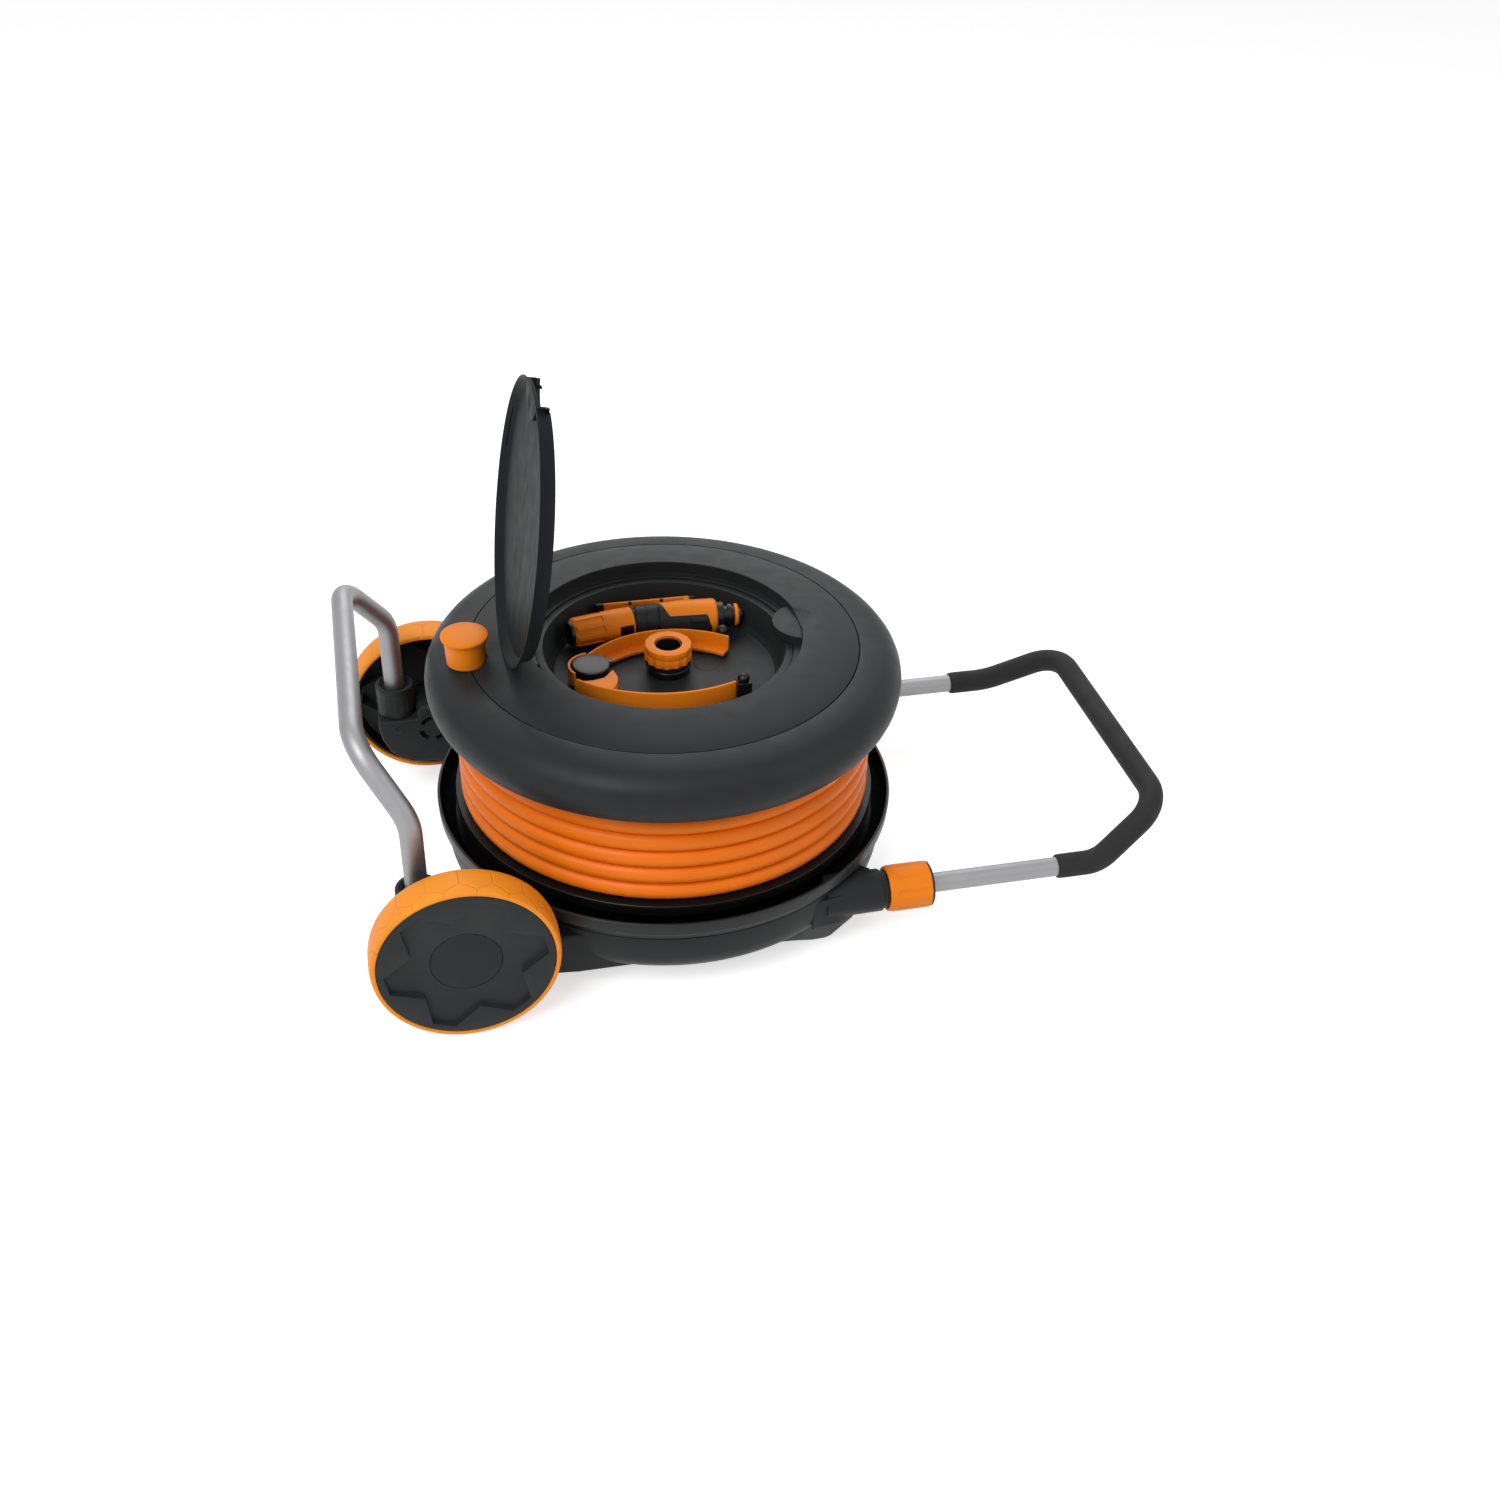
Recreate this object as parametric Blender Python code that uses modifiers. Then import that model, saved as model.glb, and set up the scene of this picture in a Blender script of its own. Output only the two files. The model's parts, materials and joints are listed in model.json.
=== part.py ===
"""Hose reel cart with a lidded accessory bin.

The reel lies flat: its drum turns on an upright spindle above a round tray, two wheels stand at the -X end,
and a sliding handle runs out at the +X end. All dimensions count from the spindle's axis at floor level; at the
end the whole reel moves along X, so that the origin lies on the floor below its middle. Metres, +Z up.
"""
import math

import bmesh
import bpy
from mathutils import Matrix, Vector

# Clearances
GAP = 0.0003           # between pieces that touch
RUN = 0.0003           # radial play of a shaft in its bore
SPINDLE_RUN = 0.0005   # play of the drum and the swivel on the spindle
ROUND = 28             # facets of the large turned pieces
SMALL_ROUND = 14       # facets of the small turned pieces
WHEEL_ROUND = 24       # facets of the wheels
PIN_ROUND = 12         # facets of pins and bores

# Hose on the drum
HOSE_OD = 0.0168
HOSE_PITCH = HOSE_OD + 0.0007
HOSE_TURNS = 6
HOSE_LOOP_POINTS = 24
CROSS_START = math.radians(40)
CROSS_SPAN = math.radians(100)
TAIL_OUT = 0.0207      # how far the free end stands off the outer layer
TAIL_RISE = 0.0180
TAIL_SPAN = math.radians(75)
TAIL_BEND = math.radians(40)
DIVE_ANGLE = math.radians(20)

# Radii of the drum, and of the tray and bowl round it
LOW_FLANGE_R = 0.1958
HOSE_SHY = 0.0046      # how far the outer layer stays inside the lower flange
HOSE_LAYER_R = LOW_FLANGE_R - HOSE_OD / 2 - HOSE_SHY
RIM_OVERHANG = 0.0190
RIM_R = LOW_FLANGE_R + RIM_OVERHANG
RIM_BAND = 0.0396      # from the rim's edge in to the deck's seam
SEAM_R = RIM_R - RIM_BAND
DRUM_CLEAR = 0.0147    # round the lower flange
TRAY_WALL = 0.0028
TRAY_RIM_R = LOW_FLANGE_R + DRUM_CLEAR + TRAY_WALL
TRAY_FLARE = 0.0068
BOWL_R = TRAY_RIM_R - TRAY_FLARE

# Heights of the base and the drum
SEAM_Z = 0.0700
TRAY_FLOOR_Z = SEAM_Z - 0.0025
TRAY_RIM_Z = SEAM_Z + 0.0223
LOW_FLANGE_TOP_Z = TRAY_RIM_Z + 0.0052
UP_FLANGE_Z = LOW_FLANGE_TOP_Z + HOSE_TURNS * HOSE_PITCH + 0.0023
RIM_LOW_Z = UP_FLANGE_Z - 0.0062
DECK_SEAM_Z = UP_FLANGE_Z + 0.0401
DECK_EDGE_Z = DECK_SEAM_Z + 0.0092
LEDGE_Z = DECK_EDGE_Z - 0.0121
CUP_STEP_Z = LEDGE_Z - 0.0015
CUP_FLOOR_Z = UP_FLANGE_Z + 0.0062

# Wheels
WHEEL_R = 0.0802
WHEEL_W = 0.0318
TRACK = 0.4288         # over the outer faces of the two wheels
WHEEL_IN_Y = TRACK / 2 - WHEEL_W
WHEEL_CLEAR = 0.01685  # from the tray to the tyre, along X
WHEEL_X = -math.sqrt(max(TRAY_RIM_R ** 2 - WHEEL_IN_Y ** 2, 0.0)) - WHEEL_CLEAR - WHEEL_R
TYRE_WALL = 0.0053
STAR_DEPTH = 0.0057
STAR_TIPS = 6
STAR_TIP_R = WHEEL_R - TYRE_WALL - 0.0063
STAR_TIP_W = 0.0196
STAR_VALLEY_R = STAR_TIP_R - 0.0206
STAR_TURN = math.radians(10)
HUB_PLATE = 0.0105     # thickness of the hub's front plate under its face
HUB_TUBE_R = 0.0150
HUB_RIBS = 6
CAP_R = 0.0300
CAP_T = 0.0022
AXLE_R = 0.0060
AXLE_HEAD_R = 0.0100
AXLE_HEAD_T = 0.0030

# Base bowl
BOWL_WALL = 0.0028
BOWL_BOTTOM_Z = 0.0120

# Side arms of the base and the elbow brackets bolted to them
ARM_CLEAR = 0.0046     # from an arm to its wheel
ARM_W = 0.0410
ARM_OUT_Y = WHEEL_IN_Y - ARM_CLEAR
ARM_IN_Y = ARM_OUT_Y - ARM_W
ARM_TOP_Z = SEAM_Z - 0.0060
ARM_LOW_Z = 0.0210
ARM_JOINT_X = WHEEL_X + 0.0423
ARM_BEND_X = ARM_JOINT_X + 0.0550
ARM_END_X = -0.0400
BRACKET_WALL = 0.0030
SCREW_R = 0.0020
SCREW_HEAD_R = 0.0045

# Foot tube at the wheel end
FOOT_TUBE_R = 0.00965
LEG_X = WHEEL_X - 0.0337
LEG_Y = ARM_IN_Y + 0.0206
FOOT_BAR_X = LEG_X - 0.0380
FOOT_BAR_Y = LEG_Y - 0.0319
FOOT_BEND_R = 0.0400
COLLAR_SEAT_Z = 0.0922
LEG_SEAT_Z = COLLAR_SEAT_Z - 0.0325
LEG_COLLAR_R = 0.0185
LEG_COLLAR_TOP_Z = COLLAR_SEAT_Z + 0.0328
LEG_BEND_Z = 0.1937
FOOT_BAR_Z = LEG_BEND_Z + 0.0608
SCREW_X = LEG_X - 0.0011
SCREW_Z = COLLAR_SEAT_Z - 0.0088

# Handle sockets, feet and collars
TUBE_R = 0.0090
TUBE_Y = 0.1571
TUBE_Z = SEAM_Z - 0.0161
SOCKET_R = 0.0190
SPIGOT_R = 0.0125
TWIST_COLLAR_R = 0.0214
TWIST_GROOVES = 6
SOCKET_REACH = 0.01835  # from the bowl to the collar, along X
SOCKET_END_X = math.sqrt(max(BOWL_R ** 2 - (TUBE_Y - TWIST_COLLAR_R) ** 2, 0.0)) + SOCKET_REACH
SPIGOT_END_X = SOCKET_END_X + 0.0260
TWIST_COLLAR_END_X = SOCKET_END_X + 0.0406
GUIDE_X = SOCKET_END_X - 0.0910
GUIDE_L = 0.0230
GUIDE_W = 0.0260
FOOT_TIP_X = SOCKET_END_X - 0.0520
FOOT_Y = TUBE_Y - 0.0141
FOOT_W = 0.0220
FOOT_LEAN = 0.4  # outwards per metre up, on the outer face only
ROOT_ARC = ((57.5, 0.0050), (54.0, 0.0110), (47.0, 0.0115), (40.5, 0.0095))  # degrees round, reach past the bowl
ROOT_LOW_Z = SEAM_Z - 0.0350
ROOT_TOP_Z = SEAM_Z - 0.0035
ROOT_DEPTH = 0.0100

# Handle, shown pulled part of the way out
GRIP_START_X = TWIST_COLLAR_END_X + 0.1254
HANDLE_BEND_X = GRIP_START_X + 0.0418
HANDLE_BAR_X = HANDLE_BEND_X + 0.0672
HANDLE_BAR_Y = TUBE_Y - 0.0256
HANDLE_BAR_Z = TUBE_Z + 0.0404
HANDLE_BEND_R = 0.0400
GRIP_R = 0.0114
TUBE_END_X = GUIDE_X - 0.1030
STOP_R = 0.0104
STOP_L = 0.0120

# Water way: inlet, spindle, swivel
INLET_Z = 0.0300
INLET_R = 0.0060
INLET_SEAT_Y = BOWL_R - 0.0105
PIPE_END_Y = INLET_SEAT_Y - 0.0260
PIPE_R = 0.0050
SPINDLE_R = 0.0150
POST_R = 0.0230
SHOULDER_Z = LOW_FLANGE_TOP_Z - 0.0145
SPINDLE_TOP_Z = LOW_FLANGE_TOP_Z + 0.0725
SEAL_Z = SPINDLE_TOP_Z - 0.0100
SEAL_WIRE_R = 0.0009
SWIVEL_R = 0.0220
FEED_Z = SPINDLE_TOP_Z - 0.0200

# Drum
LOW_FLANGE_RIM_Z = LOW_FLANGE_TOP_Z - 0.0105
CORE_R = HOSE_LAYER_R - 0.0558
CORE_WALL = 0.0030
UP_FLANGE_T = 0.0030
SKIN = 0.0030

# Bin, as wide as the nozzle laid in it needs
NOZZLE_X = -0.0180
NOZZLE_Y = 0.0635
NOZZLE_L = 0.1022      # from its bend to its coupling's tip
NEST = 0.00646         # how far that tip reaches over the floor's edge
CUP_FLOOR_R = math.hypot(NOZZLE_X + NOZZLE_L, NOZZLE_Y) - NEST
CUP_WALL_LOW_R = CUP_FLOOR_R + 0.0050
CUP_WALL_TOP_R = CUP_WALL_LOW_R + 0.0052
CUP_WALL = 0.0028
LEDGE_IN_R = CUP_WALL_TOP_R + 0.0073
BIN_MOUTH_R = LEDGE_IN_R + 0.0073
RIB_IN_R = (BIN_MOUTH_R + SEAM_R) / 2 - 0.0005
RIB_OUT_R = RIB_IN_R + 0.0025
SHELF_X = BIN_MOUTH_R + 0.0057
SHELF_R = 0.0295
SHELF_Z = DECK_EDGE_Z - 0.0041
SCOOP_R = 0.0630

# Lid, shown open
LID_R = BIN_MOUTH_R - 0.0008
LID_FOOT_R = LEDGE_IN_R - 0.0008
LID_TOP_Z = DECK_EDGE_Z
LID_PLATE_Z = LEDGE_Z + 0.0032
LID_PLATE_T = 0.0018
LID_WALL = 0.0022
LID_PLATE_R = LID_FOOT_R - LID_WALL - 0.0060
HINGE_X = -BIN_MOUTH_R - 0.0097
HINGE_Z = LEDGE_Z - 0.0026
HINGE_PIN_R = 0.0020
HINGE_BARREL_R = 0.0040
HINGE_ARM_Y = 0.0200
HINGE_ARM_W = 0.0060
LUG_END_Y = 0.0320
LID_OPEN = math.radians(81)

# Winding knob
KNOB_X = -SEAM_R - 0.0021
KNOB_Y = -0.0050
KNOB_BASE_Z = DECK_SEAM_Z + 0.0006
KNOB_TOP_Z = KNOB_BASE_Z + 0.0290
KNOB_R = 0.0178
KNOB_CAP_R = 0.0208
KNOB_PIN_R = 0.0040

# Spray nozzle, laid in the bin
NOZZLE_R = 0.0166
NOZZLE_Z = CUP_FLOOR_Z + GAP + NOZZLE_R
NOZZLE_TURN = math.radians(-3.6)
HEAD_TURN = math.radians(11)
HEAD_L = 0.0600
HEAD_R = 0.0138
TRIGGER_X = 0.0410      # its pivot
TRIGGER_Y = NOZZLE_Y + 0.0250
TRIGGER_T = 0.0030
TRIGGER_LOW_Z = NOZZLE_Z - 0.0059
TRIGGER_TOP_Z = NOZZLE_Z + 0.0061

# Sprinkler, laid in the bin
SPRINKLER_X = -0.0680
SPRINKLER_Y = -0.0060
SPRINKLER_POST_R = 0.0120
SPRINKLER_HUB_R = 0.0150
SPRINKLER_CAP_R = 0.0165
SPRINKLER_TOP_Z = CUP_FLOOR_Z + 0.0190
SPRINKLER_LEG_LOW_Z = CUP_FLOOR_Z + 0.0040

# Tap connector, standing in the bin
TAP_X = 0.0035
TAP_Y = 0.0010
TAP_TOP_Z = CUP_FLOOR_Z + 0.0285
TAP_RING_R = 0.0212
TAP_RING_LOW_Z = CUP_FLOOR_Z + 0.0135
TAP_BODY_R = 0.0195

PARTS = None
CUTTERS = None


def start_scene():
    """Empty the scene and make the two collections."""
    global PARTS, CUTTERS
    for old in list(bpy.data.objects):
        bpy.data.objects.remove(old, do_unlink=True)
    PARTS = bpy.data.collections.new("hose_reel")
    CUTTERS = bpy.data.collections.new("cutters")
    bpy.context.scene.collection.children.link(PARTS)
    bpy.context.scene.collection.children.link(CUTTERS)


def paint(name, colour, roughness, metallic=0.0):
    """A plain material with one colour."""
    material = bpy.data.materials.new(name)
    material.use_nodes = True
    shader = material.node_tree.nodes["Principled BSDF"]
    shader.inputs["Base Color"].default_value = (*colour, 1.0)
    shader.inputs["Roughness"].default_value = roughness
    shader.inputs["Metallic"].default_value = metallic
    return material


ORANGE = (0.84, 0.17, 0.010)
CHARCOAL = (0.050, 0.056, 0.058)
BLACK = (0.012, 0.012, 0.013)
SATIN = (0.62, 0.62, 0.63)


def add(name, mesh):
    """Link a mesh as an object of the model."""
    thing = bpy.data.objects.new(name, mesh)
    PARTS.objects.link(thing)
    return thing


def finish(thing, colour, roughness=0.45, metallic=0.0):
    """Give an object its own material."""
    thing.data.materials.clear()
    thing.data.materials.append(paint(thing.name, colour, roughness, metallic))
    return thing


def empty(name, place, turn=(0.0, 0.0, 0.0)):
    """A joint's centre that moving pieces hang on."""
    centre = bpy.data.objects.new(name, None)
    centre.location = place
    centre.rotation_euler = turn
    centre.empty_display_size = 0.02
    PARTS.objects.link(centre)
    bpy.context.view_layer.update()
    return centre


def hang(centre, *things):
    """Parent objects to an empty and leave them where they are."""
    for thing in things:
        thing.parent = centre
        thing.matrix_parent_inverse = centre.matrix_world.inverted()


def ride(centre, *things):
    """Parent objects to an empty whose own frame they were drawn in."""
    for thing in things:
        thing.parent = centre


def tool(thing):
    """Make an object a cutter or a helper."""
    PARTS.objects.unlink(thing)
    CUTTERS.objects.link(thing)
    thing.hide_render = True
    thing.display_type = "WIRE"
    return thing


def combine(thing, other, operation):
    """Boolean one object with another, which becomes a helper."""
    if other.name in PARTS.objects:
        tool(other)
    step = thing.modifiers.new(operation.lower(), "BOOLEAN")
    step.object = other
    step.operation = operation
    step.solver = "EXACT"
    return thing


def cut(thing, *others):
    """Cut shapes out of an object."""
    for other in others:
        combine(thing, other, "DIFFERENCE")
    return thing


def join(thing, *others):
    """Fuse shapes to an object."""
    for other in others:
        combine(thing, other, "UNION")
    return thing


def turned(name, profile, steps=ROUND, loop=True, turn=None, place=None):
    """A turned piece: (radius, height) points down its outer side, closed as a loop or ending on the axis."""
    mesh = bpy.data.meshes.new(name)
    points = [(radius, 0.0, height) for radius, height in profile]
    edges = [(i, i + 1) for i in range(len(points) - 1)]
    if loop:
        edges.append((len(points) - 1, 0))
    mesh.from_pydata(points, edges, [])
    thing = add(name, mesh)
    screw = thing.modifiers.new("turn", "SCREW")
    screw.steps = steps
    screw.render_steps = steps
    screw.use_merge_vertices = True
    screw.merge_threshold = 0.00001
    screw.use_smooth_shade = False
    if turn is not None:
        thing.rotation_euler = turn
    if place is not None:
        thing.location = place
    return thing


def cylinder(name, radius, low, high, along="Z", place=(0.0, 0.0, 0.0), steps=PIN_ROUND):
    """A round bar from low to high along an axis through a place."""
    mesh = bpy.data.meshes.new(name)
    work = bmesh.new()
    bmesh.ops.create_cone(work, cap_ends=True, segments=steps, radius1=radius, radius2=radius, depth=high - low)
    bmesh.ops.translate(work, verts=work.verts, vec=(0.0, 0.0, (low + high) / 2))
    if along == "X":
        bmesh.ops.rotate(work, verts=work.verts, matrix=Matrix.Rotation(math.pi / 2, 3, "Y"))
    if along == "Y":
        bmesh.ops.rotate(work, verts=work.verts, matrix=Matrix.Rotation(-math.pi / 2, 3, "X"))
    bmesh.ops.translate(work, verts=work.verts, vec=place)
    work.to_mesh(mesh)
    work.free()
    return add(name, mesh)


def ball(name, radius, place, steps=PIN_ROUND):
    """A sphere."""
    mesh = bpy.data.meshes.new(name)
    work = bmesh.new()
    bmesh.ops.create_uvsphere(work, u_segments=steps, v_segments=steps // 2, radius=radius)
    bmesh.ops.translate(work, verts=work.verts, vec=place)
    work.to_mesh(mesh)
    work.free()
    return add(name, mesh)


def box(name, low, high):
    """A box between two corners."""
    mesh = bpy.data.meshes.new(name)
    size = [b - a for a, b in zip(low, high)]
    middle = [(a + b) / 2 for a, b in zip(low, high)]
    work = bmesh.new()
    bmesh.ops.create_cube(work, size=1.0)
    bmesh.ops.scale(work, verts=work.verts, vec=size)
    bmesh.ops.translate(work, verts=work.verts, vec=middle)
    work.to_mesh(mesh)
    work.free()
    return add(name, mesh)


def solid_of(curve_object):
    """Make a closed mesh of a curve object and remove the curve."""
    bpy.context.view_layer.update()
    evaluated = curve_object.evaluated_get(bpy.context.evaluated_depsgraph_get())
    mesh = bpy.data.meshes.new_from_object(evaluated)
    work = bmesh.new()
    work.from_mesh(mesh)
    bmesh.ops.remove_doubles(work, verts=work.verts, dist=0.000001)
    work.to_mesh(mesh)
    work.free()
    name = curve_object.name
    placed = curve_object.matrix_world.copy()
    bpy.data.objects.remove(curve_object, do_unlink=True)
    thing = add(name, mesh)
    thing.matrix_world = placed
    return thing


def plate(name, outlines, low, high, along="Z"):
    """A flat outline, with any holes, between two heights; along Y its points are (x, z)."""
    curve = bpy.data.curves.new(name, "CURVE")
    curve.dimensions = "2D"
    curve.fill_mode = "BOTH"
    curve.extrude = (high - low) / 2
    for outline in outlines:
        line = curve.splines.new("POLY")
        line.points.add(len(outline) - 1)
        for point, (u, v) in zip(line.points, outline):
            point.co = (u, v, 0.0, 1.0)
        line.use_cyclic_u = True
    thing = add(name, curve)
    middle = (low + high) / 2
    if along == "Z":
        thing.location = (0.0, 0.0, middle)
    if along == "Y":
        thing.rotation_euler = (math.pi / 2, 0.0, 0.0)
        thing.location = (0.0, middle, 0.0)
    return solid_of(thing)


def tube(name, route, radius, resolution=2):
    """A round bar along a route of points."""
    curve = bpy.data.curves.new(name, "CURVE")
    curve.dimensions = "3D"
    curve.bevel_depth = radius
    curve.bevel_resolution = resolution
    curve.use_fill_caps = True
    line = curve.splines.new("POLY")
    line.points.add(len(route) - 1)
    for point, where in zip(line.points, route):
        point.co = (*where, 1.0)
    return solid_of(add(name, curve))


def rounded_route(corners, radius, steps=3):
    """A route of straight runs with an arc of one radius at each inner corner."""
    corners = [Vector(corner) for corner in corners]
    route = [corners[0]]
    for before, corner, after in zip(corners, corners[1:], corners[2:]):
        back = (before - corner).normalized()
        ahead = (after - corner).normalized()
        half = back.angle(ahead) / 2
        centre = corner + (back + ahead).normalized() * radius / math.sin(half)
        start = corner + back * radius / math.tan(half) - centre
        end = corner + ahead * radius / math.tan(half) - centre
        sweep = start.angle(end)
        for i in range(steps + 1):
            share = i / steps
            arm = start * math.sin((1 - share) * sweep) + end * math.sin(share * sweep)
            route.append(centre + arm / math.sin(sweep))
    route.append(corners[-1])
    return route


def inset(outline, distance):
    """An outline moved inwards by a distance; its points run clockwise."""
    moved = []
    count = len(outline)
    for i in range(count):
        here = Vector(outline[i])
        before = (here - Vector(outline[i - 1])).normalized()
        after = (Vector(outline[(i + 1) % count]) - here).normalized()
        inward_before = Vector((before.y, -before.x))
        inward_after = Vector((after.y, -after.x))
        middle = (inward_before + inward_after).normalized()
        moved.append(tuple(here + middle * distance / middle.dot(inward_before)))
    return moved


def arc_points(centre, radius, start, end, count):
    """Points on an arc, angles in radians."""
    points = []
    for i in range(count):
        angle = start + (end - start) * i / (count - 1)
        points.append((centre[0] + radius * math.cos(angle), centre[1] + radius * math.sin(angle)))
    return points


def ease(share):
    """A smooth step from 0 to 1."""
    share = min(max(share, 0.0), 1.0)
    return (1 - math.cos(math.pi * share)) / 2


BOWL_OUTER = (
    (BOWL_R, SEAM_Z),
    (BOWL_R - 0.0014, 0.0480),
    (BOWL_R - 0.0066, 0.0345),
    (BOWL_R - 0.0160, 0.0250),
    (BOWL_R - 0.0275, 0.0165),
    (BOWL_R - 0.0385, BOWL_BOTTOM_Z),
)


def bowl_inner():
    """The bowl's inner surface, one wall inside its outer one, from the top down."""
    return [(radius - BOWL_WALL, height + BOWL_WALL * (1 - height / SEAM_Z)) for radius, height in BOWL_OUTER]


def tray_outer():
    """The tray's outside, from its rim down to the middle of its underside."""
    under = TRAY_FLOOR_Z - TRAY_WALL
    return [
        (TRAY_RIM_R, TRAY_RIM_Z),
        (TRAY_RIM_R - 0.0004, TRAY_RIM_Z - 0.0110),
        (BOWL_R + 0.0003, SEAM_Z + GAP),
        (BOWL_R - BOWL_WALL - GAP, SEAM_Z + GAP),
        (BOWL_R - BOWL_WALL - GAP, SEAM_Z - 0.0012),
        (BOWL_R - 0.0095, under),
    ]


def build_chassis():
    """The base bowl with its side arms, handle sockets, front feet and inlet boss."""
    chassis = turned("chassis", [(0.0, SEAM_Z)] + list(BOWL_OUTER) + [(0.0, BOWL_BOTTOM_Z)], loop=False)
    for side, sign in (("near", -1), ("far", 1)):
        inner, outer = sorted((sign * ARM_IN_Y, sign * ARM_OUT_Y))
        arm = [(ARM_JOINT_X, ARM_LOW_Z + 0.005), (ARM_BEND_X, ARM_LOW_Z), (ARM_END_X, ARM_LOW_Z),
               (ARM_END_X, ARM_TOP_Z), (ARM_JOINT_X, ARM_TOP_Z)]
        join(chassis, plate("arm_" + side, [arm], inner, outer, "Y"))
        socket = cylinder("socket_" + side, SOCKET_R, SOCKET_END_X - 0.0690, SOCKET_END_X, "X",
                          (0, sign * TUBE_Y, TUBE_Z), SMALL_ROUND)
        spigot = cylinder("spigot_" + side, SPIGOT_R, SOCKET_END_X - 0.0540, SPIGOT_END_X, "X",
                          (0, sign * TUBE_Y, TUBE_Z), SMALL_ROUND)
        foot = [(FOOT_TIP_X - 0.0140, 0.0), (FOOT_TIP_X, 0.0), (FOOT_TIP_X + 0.0050, 0.0040),
                (FOOT_TIP_X + 0.0200, 0.0330), (FOOT_TIP_X + 0.0240, TUBE_Z - 0.005), (FOOT_TIP_X - 0.0280, TUBE_Z)]
        middle = sign * FOOT_Y
        support = plate("foot_" + side, [foot], middle - FOOT_W / 2, middle + FOOT_W / 2, "Y")
        for vertex in support.data.vertices:
            if abs(vertex.co.y) > FOOT_Y:
                vertex.co.y += sign * FOOT_LEAN * vertex.co.z
        plan = [(BOWL_R + reach, math.radians(angle)) for angle, reach in ROOT_ARC]
        plan += [(BOWL_R - ROOT_DEPTH, math.radians(angle)) for angle, _ in (ROOT_ARC[-1], ROOT_ARC[0])]
        plan = [(radius * math.cos(angle), sign * radius * math.sin(angle)) for radius, angle in plan]
        join(chassis, socket, spigot, support, plate("socket_root_" + side, [plan], ROOT_LOW_Z, ROOT_TOP_Z))
    shy = BOWL_R + 2 * GAP
    above = [(0.0, TRAY_RIM_Z), (TRAY_RIM_R + GAP, TRAY_RIM_Z), (TRAY_RIM_R - 0.0004 + GAP, TRAY_RIM_Z - 0.0110)]
    cut(chassis, turned("room_for_tray", above + [(shy, SEAM_Z), (0.0, SEAM_Z)], loop=False))
    cavity = [(BOWL_R - BOWL_WALL, SEAM_Z + 0.01)] + bowl_inner()
    floor = cavity[-1][1]
    cut(chassis, turned("bowl_cavity", [(0.0, SEAM_Z + 0.01)] + cavity + [(0.0, floor)], loop=False))
    within = [(radius - 0.0010, height + 0.0010 * (1 - height / SEAM_Z)) for radius, height in BOWL_OUTER]
    for side, sign in (("near", -1), ("far", 1)):
        middle = sign * TUBE_Y
        guide_top = TRAY_FLOOR_Z - TRAY_WALL - GAP
        guide = box("guide_" + side, (GUIDE_X, middle - GUIDE_W / 2, TUBE_Z - 0.0139),
                    (GUIDE_X + GUIDE_L, middle + GUIDE_W / 2, guide_top))
        web = box("guide_web_" + side, (GUIDE_X + 0.002, middle - 0.0015, floor - 0.001),
                  (GUIDE_X + GUIDE_L - 0.002, middle + 0.0015, TUBE_Z - 0.0120))
        limit = turned("guide_limit_" + side, [(0.0, SEAM_Z)] + within + [(0.0, within[-1][1])], loop=False)
        join(chassis, combine(join(guide, web), limit, "INTERSECT"))
        cut(chassis, cylinder("tube_bore_" + side, TUBE_R + RUN, GUIDE_X - 0.01, SPIGOT_END_X + 0.01, "X",
                              (0, middle, TUBE_Z), SMALL_ROUND))
    seat = INLET_SEAT_Y
    join(chassis, cylinder("inlet_boss", 0.0145, seat - 0.0110, seat + 0.0085, "Y", (0, 0, INLET_Z), SMALL_ROUND))
    cut(chassis, cylinder("inlet_seat", 0.0122, seat, seat + 0.0240, "Y", (0, 0, INLET_Z), SMALL_ROUND),
        cylinder("inlet_bore", INLET_R + RUN, seat - 0.0460, seat + 0.0140, "Y", (0, 0, INLET_Z), PIN_ROUND))
    return finish(chassis, CHARCOAL, 0.5)


def build_tray():
    """The drip tray that closes the bowl."""
    inside = [
        (POST_R + GAP, TRAY_FLOOR_Z - TRAY_WALL),
        (POST_R + GAP, TRAY_FLOOR_Z),
        (BOWL_R - 0.0090, TRAY_FLOOR_Z),
        (BOWL_R - 0.0025, TRAY_FLOOR_Z + 0.0050),
        (TRAY_RIM_R - TRAY_WALL, TRAY_RIM_Z - 0.0110),
        (TRAY_RIM_R - TRAY_WALL, TRAY_RIM_Z),
    ]
    return finish(turned("tray", tray_outer() + inside), CHARCOAL, 0.25)


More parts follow.
